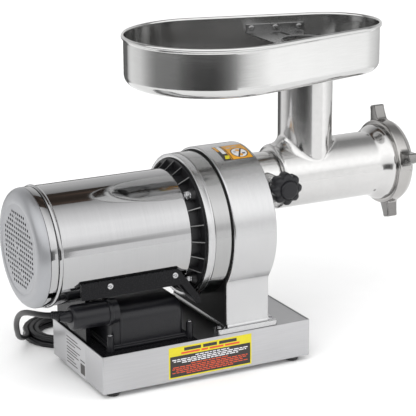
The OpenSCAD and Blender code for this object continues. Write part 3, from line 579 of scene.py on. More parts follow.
def build_plug():
    s = Shape()
    at = shift(-30, 150, 10) @ TO_X
    levels = []
    for h, hx, hy, r in ((0, 4.4, 4.4, 4.4), (0.6, 5, 5, 5), (3, 5.2, 5.2, 5.2), (3.6, 4.6, 4.6, 4.6),
                         (4.6, 4.6, 4.6, 4.6), (5.2, 5.9, 5.9, 5.9), (7, 6.2, 6.2, 6), (7.6, 5.6, 5.6, 5.4),
                         (8.6, 5.6, 5.6, 5.4), (9.2, 7, 7, 6), (12, 7.6, 8, 6), (14.4, 8.2, 9.6, 5.5),
                         (16, 9, 11.4, 5), (19, 9.6, 12.6, 5), (22, 10, 13, 5), (24, 9.3, 12.2, 4.6),
                         (27, 9.1, 12, 4.4), (30, 9.3, 12.2, 4.6), (32, 10, 13, 4), (36.6, 10, 13, 3.6),
                         (37.6, 9.6, 12.6, 3.4), (38, 8.8, 11.8, 3)):
        levels.append((oblong(hx, hy, r, seg=6), h))
    s.skin(levels, at)
    place(raw(s, "plug_body"), ["plug"])
    pins = Shape()
    for y in (-5.75, 5.75):
        pins.block((-3.4, y - 0.75, 37), (3.1, y + 0.75, 54), 0.35, matrix=at)
    pins.lathe([(0, 37), (2.4, 37), (2.4, 54), (1.6, 56), (0, 56)], at @ shift(6.5, 0, 0), 24)
    return place(raw(pins, "plug_pins"), ["plug"], [LOOKS["zinc_steel"]])


def build_tie():
    s = Shape()
    side, top = 3 * CORD_D / 2 + 1, 2 * CORD_D + 1
    outer = rounded([(-side, 0), (side, 0), (side, top), (-side, top)], 2)
    inner = rounded([(-side + 0.8, 0.05), (side - 0.8, 0.05), (side - 0.8, top - 0.8),
                     (-side + 0.8, top - 0.8)], 1.4)
    at = shift(COIL_AT[0] + 42, COIL_AT[1], 0) @ spin(90, "X")
    s.skin([(outer, -6), (outer, 6), (inner, 6), (inner, -6)], at, closed=True)
    s.block((-4, 14.7, -3), (4, 15.6, 9), 0.3, matrix=at)
    return place(raw(s, "cord_tie_piece"), ["cord_tie"], bevel=0.15)


plug_pins = build_plug()
cord_tie = build_tie()
[v * MM for v in LEAD[0]]


def build_gland():
    """A ribbed, tapered strain relief on the boss of the capacitor box."""
    s = Shape()
    s.lathe([(3.6, -12), (7.5, -1), (7.5, 2), (7, 2.4), (3.6, 2.4)], shift(-217, -46, 100) @ TO_X, 48)
    profile = [(3.55, -1)]
    for k in range(7):
        x, r = 1 + k * 3, 6.8 - k * 0.34
        profile += [(r, x), (r, x + 1.7), (r - 0.9, x + 2.1), (r - 0.9, x + 2.7)]
    s.lathe(profile + [(4.5, 22), (3.55, 22)],
            shift(-217, -46, 100) @ spin(-45, "Z") @ spin(-90, "Y"), 48)
    place(raw(s, "cord_gland_piece"), ["cord_gland"], sharp=40)


build_gland()


# ---- Base -------------------------------------------------------------------------------------------

def build_base():
    s = Shape()
    cx, hx, hy, corner = (BASE_X + BASE_END) / 2, (BASE_END - BASE_X) / 2, BASE_HALF, 2.2
    profile = rounded([(0, BASE_BOTTOM), (0, BASE_TOP), (1.5, BASE_TOP), (1.5, 51.5), (8, 51.5), (8, 50),
                       (1.5, 50), (1.5, 8.5), (26, 8.5), (26, BASE_BOTTOM)],
                      [1.2, 0.7, 0.4, 0, 0, 0, 0, 0, 0, 0], 3)
    s.skin([(oblong(hx - i, hy - i, max(corner - i, 0.3), (cx, 0)), h) for i, h in profile], closed=True)
    holes = Shape().block((16, 70, 20), (44, 80, 40))
    y_hole = Shape().lathe([(0, 70), (6.1, 70), (6.1, 80), (0, 80)],
                           shift(-8, 0, 30) @ spin(-90, "X"), 32)
    place(solid(raw(s, "base_shell"), [raw(holes, "hole"), raw(y_hole, "hole")], "DIFFERENCE"),
          ["base_frame"], sharp=40)
    feet = Shape()
    profile = rounded([(0, 3), (5, 3), (5, 0), (8, 0), (9, 7), (0, 7)], [0, 0, 0.6, 1.6, 0.8, 0], 4)
    for x in (-171, 73):
        for y in (-63, 63):
            feet.lathe(profile, shift(x, y, 0), 48)
    place(raw(feet, "rubber_feet"), ["feet"])


build_base()


def strip(s, low, high, depth, mat, side):
    """A thin printed panel: side says how (across, height) and depth map into the frame."""
    s.block((low[0], low[1], 0), (high[0], high[1], depth), 0.0, mat, side)


def build_labels():
    order = ["yellow", "ink", "red", "white", "silver", "orange"]
    mats = [LABEL[k] for k in order]
    yellow, ink, red, white, silver, orange = range(6)

    front = Shape()
    at = shift(0, -77, 0) @ TO_MINUS_Y
    strip(front, (-103.5, 10.5), (8.5, 50), 0.12, yellow, at)
    strip(front, (-101.8, 12.2), (6.8, 38.6), 0.18, ink, at)
    for x0, x1 in ((-83, -60.5), (-57.5, -39), (-36, -12)):
        strip(front, (x0, 43.9), (x1, 47.9), 0.18, ink, at)
    for x0, x1 in ((-87, -62), (-60, -51), (-49, -30), (-28, -8)):
        strip(front, (x0, 40.2), (x1, 42.6), 0.18, red, at)
    rows = [(36.4, -68, -20, white), (33.9, -99, 3, white), (31.7, -97, 1, white), (29.5, -86, -10, white),
            (26.8, -74, -22, red), (24.2, -98, 3, red), (22.0, -99, 1, red), (19.8, -94, -4, red),
            (17.4, -99, 3, red), (15.2, -80, -14, red)]
    for z, x0, x1, mat in rows:
        x = x0
        while x < x1 - 2:
            step = 3.0 + (x * 7.3 + z * 3.1) % 5.0
            strip(front, (x, z - 0.55), (min(x + step, x1), z + 0.55), 0.24, mat, at)
            x += step + 1.2
    place(raw(front, "caution_label"), ["labels"], mats)

    rear = Shape()
    at = shift(BASE_X, 0, 0) @ spin(-90, "Z") @ TO_MINUS_Y
    strip(rear, (-35, 8), (27, 51), 0.12, silver, at)
    for z, x0, x1 in ((46.5, -32, 2), (42.5, -32, 12), (38.5, -32, -6), (33.5, -32, 8),
                                     (29.8, -32, 0), (26.1, -32, 4), (21.5, -32, -10), (17.8, -32, -4),
                                     (14.1, -32, 0)):
        strip(rear, (x0, z - 0.7), (x1, z + 0.7), 0.2, ink, at)
    strip(rear, (10, 12), (23, 25), 0.2, ink, at)
    strip(rear, (10, 28), (23, 29.6), 0.2, ink, at)
    place(raw(rear, "rating_label"), ["labels"], mats)

    top = Shape()

    def bent(x0, x1, y0, y1, lift, mat, parts=14, lean=0.0):
        """A panel that follows the round housing, from y0 to y1 across its top."""
        a0, a1 = math.asin(y0 / CASE_R), math.asin(y1 / CASE_R)
        verts, faces = [], []
        for k in range(parts + 1):
            a = a0 + (a1 - a0) * k / parts
            for x in (x0, x1):
                for r in (CASE_R, CASE_R + lift):
                    across = lean * (CASE_R * math.sin(a) - y0)
                    verts.append((x + across, r * math.sin(a), MOTOR_Z + r * math.cos(a)))
        for k in range(parts):
            b = 4 * k
            faces += [(b + 1, b + 3, b + 7, b + 5), (b, b + 4, b + 6, b + 2), (b, b + 1, b + 5, b + 4),
                      (b + 2, b + 6, b + 7, b + 3)]
        end = 4 * parts
        faces += [(0, 2, 3, 1), (end, end + 1, end + 3, end + 2)]
        top.add(verts, faces, mat)

    def disc(cx, cy, r, inner, lift, mat, parts=40):
        verts, faces = [], []
        for k in range(parts):
            a = k * math.tau / parts
            for radius in (r, inner):
                y = cy + radius * math.sin(a)
                b = y / CASE_R
                for up in (0.1, lift):
                    verts.append((cx + radius * math.cos(a), (CASE_R + up) * math.sin(b),
                                  MOTOR_Z + (CASE_R + up) * math.cos(b)))
        for k in range(parts):
            b, n = 4 * k, 4 * ((k + 1) % parts)
            faces += [(b + 1, n + 1, n + 3, b + 3), (b, b + 2, n + 2, n), (b, n, n + 1, b + 1),
                      (b + 2, b + 3, n + 3, n + 2)]
        top.add(verts, faces, mat)

    bent(-8, 32, -39.4, -5, 0.10, ink)
    bent(4.6, 31.2, -38.8, -5.6, 0.16, orange)
    disc(18.6, -27.3, 10.8, 0.02, 0.20, ink)
    disc(18.6, -27.3, 9.6, 0.02, 0.24, white)
    bent(13.2, 15.6, -35.2, -19.4, 0.28, ink, lean=0.6)
    bent(11.6, 15.2, -27, -23.4, 0.28, silver)
    bent(21.4, 25.4, -31, -28.4, 0.28, ink)
    bent(2.4, 3.4, -38.6, -9, 0.16, orange)
    bent(-3.6, 1.4, -26.4, -5.8, 0.22, white)
    bent(-7.6, -4.4, -20, -5.8, 0.18, orange)
    bent(-5.2, 0.8, -36.8, -30.4, 0.18, yellow, lean=0.35)
    bent(7.5, 13, -15, -12.2, 0.22, silver)
    bent(16, 22, -13, -10.6, 0.22, silver)
    place(raw(top, "housing_label"), ["labels"], mats)


build_labels()


# ---- Capacitor box ----------------------------------------------------------------------------------

def box_outline(shrink, bottom=DECK_Z + 2.9):
    """The box's arched section in (Y, Z), anticlockwise, pulled in by shrink."""
    y0, y1, top, r = -55 + shrink, 22 - shrink, 101 - shrink, max(18 - shrink, 1)
    points = [(y0, bottom), (y1, bottom)]
    for cx, start in ((y1 - r, 0), (y0 + r, 90)):
        points += bow(cx, top - r, r, range(start, start + 91, 9))
    return points


def build_box():
    s = Shape()
    at = ALONG_X
    stations = [(-167, 4.5), (-166.7, 3.2), (-165.6, 1.6), (-164, 0.6), (-162, 0.1), (-160, 0), (-156.6, 0),
                (-156.2, -0.9), (-155.2, -1.2), (-153.6, -1.2), (-152.6, -0.9), (-152.2, 0.15), (-148, 0.1),
                (-80, 0.1), (-77, 0.4), (-75, 1.2), (-73.7, 2.6), (-73, 4.2)]
    s.skin([(box_outline(shrink), x) for x, shrink in stations], at)
    s.rounded_prism(oblong(53, 44, 5, (-118, -14)), DECK_Z, DECK_Z + 3, 1.1)
    s.rounded_prism(oblong(50.6, 41.4, 4, (-118, -15)), DECK_Z + 2, DECK_Z + 5.2, 1.2)
    for x, y in ((-170, -57), (-66, -57), (-170, 26), (-66, 26)):
        s.lathe(rounded([(0, DECK_Z), (4.6, DECK_Z), (4.2, DECK_Z + 4), (3.8, DECK_Z + 19), (0, DECK_Z + 19)],
                        [0, 0, 0.5, 1, 0], 3), shift(x, y, 0), 32)
    boss = rounded([(0, -216), (13, -216), (15, -213.5), (15, -158), (0, -158)], [0, 1, 1, 0, 0], 3)
    s.lathe(boss, about_x(-46, 98), 64)
    s.lathe(rounded([(14, -171), (16.6, -171), (16.6, -166), (14, -166)], [0, 0.8, 0.8, 0], 3),
            about_x(-46, 98), 64)
    place(raw(s, "capacitor_case"), ["capacitor_box"], sharp=40)


build_box()


def screw_heads(name, node, spots, r, high, turn, rod=0.0):
    """Domed heads at spots; turn maps the local Z to the way they face."""
    s = Shape()
    for at in spots:
        m = shift(*at) @ turn
        dome = [(r * math.cos(a), high * 0.35 + high * 0.65 * math.sin(a))
                for a in (math.radians(10 * k) for k in range(9))]
        recess = r * 0.36
        s.lathe([(0, -rod), (r * 0.45, -rod), (r * 0.45, 0), (r * 0.98, 0), (r, high * 0.2)] + dome[:6]
                + [(recess + 0.15, high * 0.985), (recess, high * 0.95), (recess * 0.8, high * 0.35),
                   (0, high * 0.3)],
                m, 28, closed=False)
    return place(raw(s, name), [node], sharp=35)


UP = Matrix.Identity(4)
screw_heads("box_screw_heads", "cover_screws",
            [(x, y, DECK_Z + 19) for x, y in ((-170, -57), (-66, -57), (-170, 26), (-66, 26))], 2.8, 1.5, UP,
            rod=6)
rail_screws = Shape()
for side in (-1, 1):
    for x in (-173, -89):
        m = shift(x, side * 67.5, 137) @ Matrix.Rotation(-side * math.pi / 2, 4, "X")
        rail_screws.lathe([(0, -5.5), (1.9, -5.5), (1.9, 0), (3.9, 0), (4.0, 0.5), (3.8, 1.2), (3.2, 1.9),
                           (2.3, 2.3),
                           (1.5, 2.4), (1.3, 2.2), (1.2, 1.0), (0, 0.9)], m, 28, closed=False)
place(raw(rail_screws, "rail_screw_heads"), ["cover_screws"], sharp=38)


# ---- Motor ------------------------------------------------------------------------------------------

def build_motor():
    s = Shape()
    bead = bow(COVER_R, BEAD_X, 1.7, range(76, -91, -14), 2.3)
    s.lathe([(COVER_R - 1.2, BEAD_X - 2.3), (COVER_R - 1.2, COVER_END), (COVER_R - 0.2, COVER_END),
             (COVER_R, COVER_END - 0.25), (COVER_R, COVER_END - 1), (COVER_R, -100), (COVER_R, -180),
             (COVER_R, BEAD_X + 3.6), (COVER_R, BEAD_X + 2.6)] + bead, about_x(), 256)
    place(raw(s, "motor_cover_shell"), ["motor_cover"], sharp=50)

    band = Shape()
    band.lathe(rounded([(COVER_R - 1.5, SEAM_X + 0.35), (COVER_R - 0.1, SEAM_X + 0.35),
                        (COVER_R - 0.1, BEAD_X - 3.1),
                        (COVER_R - 1.5, BEAD_X - 3.1)], [0, 0.5, 0.5, 0], 3), about_x(), 192)
    notch = Shape().block((SEAM_X - 1, -70, MOTOR_Z - 46), (BEAD_X - 2, -40, MOTOR_Z - 38))
    place(solid(raw(band, "cap_band_ring"), [raw(notch, "cut")], "DIFFERENCE"), ["cap_band"],
          [LOOKS["mirror_steel"]], sharp=45)

    cap = Shape()
    curve, face_r = 12, 52.5
    arc = bow(COVER_R - curve, CAP_X + curve, curve, range(-90, 1, 9))
    cap.lathe([(face_r, CAP_X + 0.8), (54, CAP_X + 0.75), (54.7, CAP_X + 0.35), (55.6, CAP_X)] + arc
              + [(COVER_R, SEAM_X - 0.5), (COVER_R - 0.4, SEAM_X), (COVER_R - 1.5, SEAM_X),
                 (COVER_R - 1.5, CAP_X + curve),
                 (COVER_R - curve, CAP_X + 2.6), (face_r, CAP_X + 1.2)], about_x(), 192)
    pitch, hole_r, grid_r = 6, 1.95, 46
    holes = [circle(hole_r, (pitch * i, pitch * j), 10) for i in range(-8, 9) for j in range(-8, 9)
             if 0.5 < math.hypot(i, j) < grid_r / pitch]
    place(raw(cap, "rear_cap_shell"), ["rear_cap"], sharp=40)
    face = Shape().sheet(circle(face_r, steps=192), holes, CAP_X + 0.8, CAP_X + 1.2, about_x())
    place(raw(face, "rear_cap_face"), ["rear_cap"], sharp=40)


build_motor()


def build_bell():
    s = Shape()
    s.lathe([(22, BELL_X), (82.4, BELL_X), (82.4, BELL_X + 6), (22, BELL_X + 6)], about_x(), 160)
    s.lathe([(64, -78), (COVER_R - 1.35, -78), (COVER_R - 1.35, BELL_X + 0.1), (64, BELL_X + 0.1)], about_x(),
            160)
    s.lathe(rounded([(17.55, -60), (22, -60), (22, -46), (17.55, -46)], [0, 1, 1, 0], 3), about_x(), 64)
    for i in range(24):
        if i % 6 == 3:
            continue
        turn = shift(0, 0, MOTOR_Z) @ spin(i * 15, "X")
        low, tip = COVER_END + 0.3, RING_X - 0.3
        side = [(low, 68.2), (low, 71.2), (tip, 82.2), (-52, 82.2), (-52, 68.2)]
        verts = [(x, y, z) for y in (-0.6, 0.6) for x, z in side]
        s.add(verts, [(4, 3, 2, 1, 0), (5, 6, 7, 8, 9)], 0, turn)
        for k in range(5):
            n = (k + 1) % 5
            s.add([verts[k], verts[n], verts[5 + n], verts[5 + k]], [(0, 1, 2, 3)], 1 if k == 1 else 0, turn)
    ties = [shift(0, 0, MOTOR_Z) @ spin(a, "X") @ shift(0, 0, NUT_R) @ TO_X for a in (45, 135, 225, 315)]
    for turn in ties:
        s.lathe(rounded([(2.55, -62), (7.4, -62), (8.2, BELL_X + 0.5), (2.55, BELL_X + 0.5)], [0, 0.8, 0, 0],
                        3), turn, 40)
    place(raw(s, "end_bell_casting"), ["end_bell"], [LOOKS["black_casting"], VANE_EDGE], sharp=35)

    nuts = Shape()
    for turn in ties:
        hexagon(nuts, turn @ shift(0, 0, -67.5), 5.4, 4.5)
        nuts.lathe(rounded([(2.5, -63), (5.8, -63), (5.8, -62), (2.5, -62)], [0, 0.3, 0, 0], 2), turn, 40)
        nuts.lathe([(0, -68.2), (2.1, -68.2), (2.5, -67.8), (2.5, -38), (0, -38)], turn, 24)
    place(raw(nuts, "tie_nuts_piece"), ["tie_nuts"], sharp=30)


def hexagon(s, matrix, r, high):
    """A hexagonal nut from local z 0 to high, with its corners chamfered."""
    flat = r * math.cos(math.pi / 6)

    def reach(k, limit):
        a = (k * math.tau / 24 + math.pi / 6) % (math.pi / 3) - math.pi / 6
        return min(flat / math.cos(a), limit)
    levels = []
    for share, limit in ((0, flat * 0.97), (0.07, flat * 1.03), (0.16, r), (0.84, r), (0.93, flat * 1.03),
                         (1, flat * 0.97)):
        levels.append(([(math.cos(k * math.tau / 24) * reach(k, limit),
                         math.sin(k * math.tau / 24) * reach(k, limit)) for k in range(24)], share * high))
    s.skin(levels, matrix)


build_bell()


# ---- Gearbox ----------------------------------------------------------------------------------------

def build_gearbox():
    ring = Shape()
    ring.lathe(rounded([(82.7, RING_X), (87.4, RING_X), (87.7, RING_X + 0.4), (87.7, BAND_X - 0.5)],
                       [0.4, 0.5, 0, 0.3], 3)
               + [(87.1, BAND_X - 0.1), (87.1, BAND_X + 0.9), (87.7, BAND_X + 1.1), (88, BAND_X + 1.4),
                  (88, BAND_X + 2.4), (88, GASKET_X - 1.2),
                  (88, GASKET_X - 0.4), (87.7, GASKET_X - 0.05), (82.7, GASKET_X - 0.05)], about_x(), 256)
    ring.mats = [1 if min(ring.verts[i].x for i in face) > BAND_X else 0 for face in ring.faces]
    place(raw(ring, "adapter_ring_outer"), ["adapter_ring"], [LOOKS["cast_aluminium"], BAND_STEEL])
    web = Shape()
    web.lathe([(9, -45), (83, -45), (83, -36), (9, -36)], about_x(), 96)
    place(raw(web, "adapter_web"), ["adapter_ring"])

    # Outline in (Y, Z): the round case, a soft hollow, the pedestal's straight sides and its foot
    half, soft = 71, 13.0
    centre_y = half + soft
    centre_z = MOTOR_Z - math.sqrt((CASE_R + soft) ** 2 - centre_y ** 2)
    join = math.atan2(centre_z - MOTOR_Z, centre_y)
    start = math.degrees(join)
    foot, foot_top = 5, 60.4
    right = [(half + foot * 0.75, foot_top - 4), (half + foot * 0.75, foot_top)]
    right += [(half + foot * 0.75 * (1 - math.sin(a)), foot_top + foot * (1 - math.cos(a)))
              for a in (math.pi / 6, math.pi / 3, math.pi / 2)]
    back = math.pi + join
    steps = 6
    for k in range(steps + 1):
        a = math.pi + (back - math.pi) * k / steps
        right.append((centre_y + soft * math.cos(a), centre_z + soft * math.sin(a)))
    count = 72
    arc = [(CASE_R * math.cos(a), MOTOR_Z + CASE_R * math.sin(a))
           for a in (math.radians(start + (180 - 2 * start) * k / count) for k in range(1, count))]
    left = [(-y, z) for y, z in reversed(right)]
    outline = right + arc + left
    at = ALONG_X
    case = Shape()
    case.rounded_prism(outline, CASE_X, CASE_FRONT, 1.8, at, cap_mat=1, seg=4)
    shell = raw(case, "gear_case")
    bore = Shape().lathe([(0, CASE_X - 1), (84, CASE_X - 1), (84, 26), (0, 26)], about_x(), 96)
    hollow = Shape().block((CASE_X - 5, -62, DECK_Z - 1), (27.5, 62, 84))
    nose = Shape().lathe([(0, 20), (23.5, 20), (23.5, 34), (21, 34), (21, 40), (0, 40)], about_x(0, HEAD_Z),
                         64)
    shell = solid(shell, [raw(bore, "cut"), raw(hollow, "cut"), raw(nose, "cut")], "DIFFERENCE")
    place(shell, ["gear_housing"], [LOOKS["cast_aluminium"], BRUSHED_FACE], sharp=35)

    foot_plate = Shape()
    foot_plate.rounded_prism(oblong(41, 75, 4, (6, 0)), DECK_Z, foot_top, 1.2, seg=4)
    opening = Shape().block((-60, -62, DECK_Z - 1), (27.5, 62, 62))
    foot_plate = solid(raw(foot_plate, "case_foot"), [raw(opening, "cut")], "DIFFERENCE")
    place(foot_plate, ["gear_housing"], sharp=35)
    roots = Shape()
    for x, side in ((CASE_FRONT - 0.4, 1), (CASE_X + 0.4, -1)):
        curve = [(x + side * (6 - 6 * math.sin(a)), foot_top - 0.05 + 6 * (1 - math.cos(a)))
                 for a in (math.pi / 2 * k / 6 for k in range(7))] + [(x - side * 2, foot_top + 6),
                                                                      (x - side * 2, foot_top - 0.05)]
        roots.skin([(curve, -70.6), (curve, 70.6)],
                   Matrix(((1, 0, 0, 0), (0, 0, 1, 0), (0, 1, 0, 0), (0, 0, 0, 1))))
    place(raw(roots, "case_foot_fillets"), ["gear_housing"], sharp=35)

    seal = Shape()
    seal_line = [(y * 0.971, MOTOR_Z + (z - MOTOR_Z) * 0.971) for y, z in outline]
    seal.skin([(seal_line, GASKET_X + 0.02), (seal_line, CASE_X - 0.02)], at)
    inner = Shape().lathe([(0, GASKET_X - 2), (83, GASKET_X - 2), (83, CASE_X + 2), (0, CASE_X + 2)],
                          about_x(), 96)
    place(solid(raw(seal, "gasket_sheet"), [raw(inner, "cut")], "DIFFERENCE"), ["gasket"])

    bolts = Shape()
    for x in (-29.5, 41.6):
        for y in (-64.5, 64.5):
            m = shift(x, y, foot_top)
            bolts.lathe([(0, -0.2), (4.5, -0.2), (4.5, 0.3), (4.0, 0.8), (2.4, 0.9), (2.3, 0.1), (0, 0.1)], m,
                        32)
            bolts.lathe([(0, -16), (4, -16), (4, 0.2), (0, 0.2)], m, 24)
    place(raw(bolts, "pedestal_bolts_piece"), ["pedestal_bolts"])


build_gearbox()


# ---- Grinding head ----------------------------------------------------------------------------------

def clean_normals(obj, rule):
    """Sets each corner's normal from the true surface, so that cut faces shade as one."""
    mesh = obj.data
    normals = []
    for polygon in mesh.polygons:
        for i in polygon.loop_indices:
            at = mesh.vertices[mesh.loops[i].vertex_index].co / MM
            normals.append(rule(polygon.center / MM, polygon.normal, at) or polygon.normal)
    mesh.shade_smooth()
    mesh.normals_split_custom_set([n.normalized() for n in normals])


def build_socket():
    s = Shape()
    s.lathe(rounded([(28.05, SOCKET_END), (31.7, SOCKET_END), (32.7, SOCKET_END - 1),
                     (32.7, CASE_FRONT + 0.02),
                     (15, CASE_FRONT + 0.02), (15, 36), (18, 36), (18, 41.5), (28.05, 41.5)],
                    [0.3, 0.5, 0.5, 0, 0, 0, 0, 0, 0], 3), about_x(0, HEAD_Z), 160)
    body = raw(s, "head_socket_piece")
    stub = Shape().lathe(rounded([(5.05, 26), (9, 26), (9, 50), (5.05, 50)], [0, 0, 1, 0.3], 3),
                         shift(56, 0, HEAD_Z + 6) @ TO_MINUS_Y, 64)
    bore = Shape().lathe([(0, 27.9), (5.04, 27.9), (5.04, 60), (0, 60)],
                         shift(56, 0, HEAD_Z + 6) @ TO_MINUS_Y, 48)
    inside = Shape().lathe([(0, 41.6), (28.05, 41.6), (28.05, 80), (0, 80)], about_x(0, HEAD_Z), 160)
    body = solid(body, [raw(stub, "boss")], "UNION")
    body = solid(body, [raw(bore, "bore"), raw(inside, "inside")], "DIFFERENCE")
    place(body, ["head_socket"], sharp=35)


build_socket()

FILLET, FILLET_BACK = 9.0, 14.0


def fillet_radius(angle):
    """The neck's root is fuller on the collar's side, where cos is negative."""
    back = max(0.0, -math.cos(angle))
    return FILLET + (FILLET_BACK - FILLET) * back ** 1.5


def fillet_centre(angle):
    r = fillet_radius(angle)
    x, y = (NECK_R + r) * math.cos(angle), (NECK_R + r) * math.sin(angle)
    return Vector((x, y, math.sqrt(max((BARREL_R + r) ** 2 - y * y, 1.0)))), r


def build_head():
    back = [(BARREL_R - 5.8 + 5.8 * math.sin(math.radians(a)), BARREL_X + 0.5 - 5 * math.cos(math.radians(a)))
            for a in range(0, 91, 9)]
    flare = [(BARREL_R + (48 - BARREL_R) * eased((x - 214) / 17), x) for x in
             (214, 216, 218, 220, 222, 224, 226, 228, 230)]
    profile = [(0, 46), (27.5, 46), (28, 46.5),
               (28, 76.3)] + back + [(BARREL_R, x) for x in (100, 130, 160, 190)] \
        + flare + [(48, 231), (48, 248.4), (47.4, BARREL_END), (0, BARREL_END)]
    barrel = Shape().lathe(profile, about_x(0, HEAD_Z), 192)
    at = shift(NECK_X, 0, HEAD_Z)
    neck_top = PAN_Z - 0.3 - HEAD_Z
    neck = Shape().lathe([(0, 0), (NECK_R, 0), (NECK_R, 30), (NECK_R, 80), (NECK_R, neck_top - 1.2),
                          (NECK_R - 0.35, neck_top - 0.35), (NECK_R - 1.2, neck_top), (0, neck_top)], at, 144)

    # The rolling-ball fillet between the neck and the barrel, closed on the inside
    steps, parts = 144, 10
    verts, faces = [], []
    for k in range(steps):
        a = k * math.tau / steps
        c, r = fillet_centre(a)
        on_neck = Vector((NECK_R * math.cos(a), NECK_R * math.sin(a), c.z)) - c
        on_barrel = Vector((c.x, c.y * BARREL_R / (BARREL_R + r), c.z * BARREL_R / (BARREL_R + r))) - c
        lap = 0.015
        for i in range(parts + 1):
            verts.append(c + on_neck.slerp(on_barrel, i / parts, on_neck).normalized() * (r + lap))
    for k in range(steps):
        n = (k + 1) % steps
        for i in range(parts):
            a, b = k * (parts + 1) + i, n * (parts + 1) + i
            faces.append((a, b, b + 1, a + 1))
    top, bottom = len(verts), len(verts) + 1
    verts += [Vector((0, 0, 70)), Vector((0, 0, 5))]
    for k in range(steps):
        n = (k + 1) % steps
        faces += [(k * (parts + 1), top, n * (parts + 1)),
                  (k * (parts + 1) + parts, n * (parts + 1) + parts, bottom)]
    collar = Shape().add(verts, faces, 0, at)
    body = solid(raw(barrel, "head_piece"), [raw(neck, "neck"), raw(collar, "collar")], "UNION")
    cuts = [
        Shape().lathe([(0, 45), (17.5, 45), (17.5, 90), (0, 90)], about_x(0, HEAD_Z), 96),
        Shape().lathe([(0, BARREL_X + 1), (37.5, BARREL_X + 1), (37.5, SEAT_X), (41.3, SEAT_X),
                       (41.3, BARREL_END + 1),
                       (0, BARREL_END + 1)], about_x(0, HEAD_Z), 160),
        Shape().lathe([(0, 0), (THROAT_R, 0), (THROAT_R, 200), (0, 200)], at, 128),
        Shape().lathe([(BARREL_R + 0.02, BARREL_X - 20), (90, BARREL_X - 20), (90, BARREL_X + 3),
                       (BARREL_R + 4, BARREL_X + 1.4), (BARREL_R + 0.02, BARREL_X + 0.6)], about_x(0, HEAD_Z),
                       160),
    ]
    body = solid(body, [raw(c, "cut") for c in cuts], "DIFFERENCE")
    place(body, ["head_casting"], sharp=40)

    def rule(centre, normal, at_vertex):
        local, point = centre - Vector((NECK_X, 0, HEAD_Z)), at_vertex - Vector((NECK_X, 0, HEAD_Z))
        flat = Vector((local.x, local.y))
        off_axis = Vector((local.y, local.z)).length
        outward = normal.dot(Vector((0, local.y, local.z)).normalized())
        if abs(off_axis - BARREL_R) < 0.03 and BARREL_X + 1 < centre.x < 214 and local.z < 60:
            if outward > 0.97:
                return Vector((0, point.y, point.z))
        if abs(flat.length - NECK_R) < 0.04 and local.z > 30 and abs(normal.z) < 0.04:
            return Vector((point.x, point.y, 0))
        near_neck = 20 < flat.length < NECK_R + FILLET_BACK + 1 and local.z > 10
        if near_neck and off_axis > BARREL_R and abs(normal.z) < 0.9999:
            a = math.atan2(point.y, point.x)
            c, r = fillet_centre(a)
            if abs((point - c).length - r) < 0.12 and normal.dot((c - point).normalized()) > 0.9:
                return c - point
        if off_axis > 35 and BARREL_X - 6 < centre.x < 249 and outward > 0.3 and flat.length > NECK_R + 5:
            radial = Vector((0, point.y, point.z)).normalized()
            slope = normal.dot(Vector((1, 0, 0)))
            if 213 < at_vertex.x < 231.2:
                t0, t1 = eased((at_vertex.x - 214 - 0.4) / 17), eased((at_vertex.x - 214 + 0.4) / 17)
                slope_here = (t1 - t0) * (48 - BARREL_R) / 0.8
                return radial - Vector((slope_here, 0, 0))
            if BARREL_X + 0.6 < centre.x and abs(slope) < 0.02:
                return radial
        return None

    clean_normals(body, rule)


build_head()


def build_ring():
    s = Shape()
    outer = rounded([(48.3, RING_BACK), (RING_R, RING_BACK), (RING_R, RING_BACK + 15), (50.5, RING_BACK + 21),
                     (45.5, FRONT_X), (41, FRONT_X)], [0, 2.2, 4, 4, 1.2, 0.4], 5)
    s.lathe(outer + [(38, FRONT_X - 4), (38, SEAT_X + 8.8), (48.3, SEAT_X + 8.8)], about_x(0, HEAD_Z), 160)
    body = raw(s, "ring_nut_piece")
    lugs = []
    lug_outline = rounded([(-17, 44), (17, 44), (14.5, 50.5), (8.8, 54.5), (6.3, 66), (5.9, 72.4),
                           (-5.9, 72.4),
                           (-6.3, 66), (-8.8, 54.5), (-14.5, 50.5)], [0, 0, 0, 5, 0, 2.6, 2.6, 0, 5, 0], 5)
    for k in range(4):
        turn = shift(RING_BACK + 3, 0, HEAD_Z) @ spin(90 * k - 15, "X")
        turn = turn @ ALONG_X
        lug = Shape().rounded_prism(lug_outline, 0, 15, 2.2, turn, seg=4)
        lugs.append(raw(lug, "lug"))
    hollow = Shape().lathe([(0, RING_BACK - 2), (48.3, RING_BACK - 2), (48.3, SEAT_X + 8.8),
                            (38, SEAT_X + 8.8),
                            (38, FRONT_X + 5), (0, FRONT_X + 5)], about_x(0, HEAD_Z), 160)
    body = solid(body, lugs, "UNION")
    body = solid(body, [raw(hollow, "cut")], "DIFFERENCE")
    for face in body.data.polygons:
        at = face.center / MM
        face.material_index = int(math.hypot(at.y, at.z - HEAD_Z) > RING_R + 1.5)
    place(body, ["ring_nut"], [RING_STEEL, LUG_STEEL], sharp=38)


build_ring()


# ---- Pan --------------------------------------------------------------------------------------------

BIG_X, BIG_R, SMALL_R, ENDS = -5.8, 106.7, 66.5, 164
SLANT = math.asin((BIG_R - SMALL_R) / ENDS)


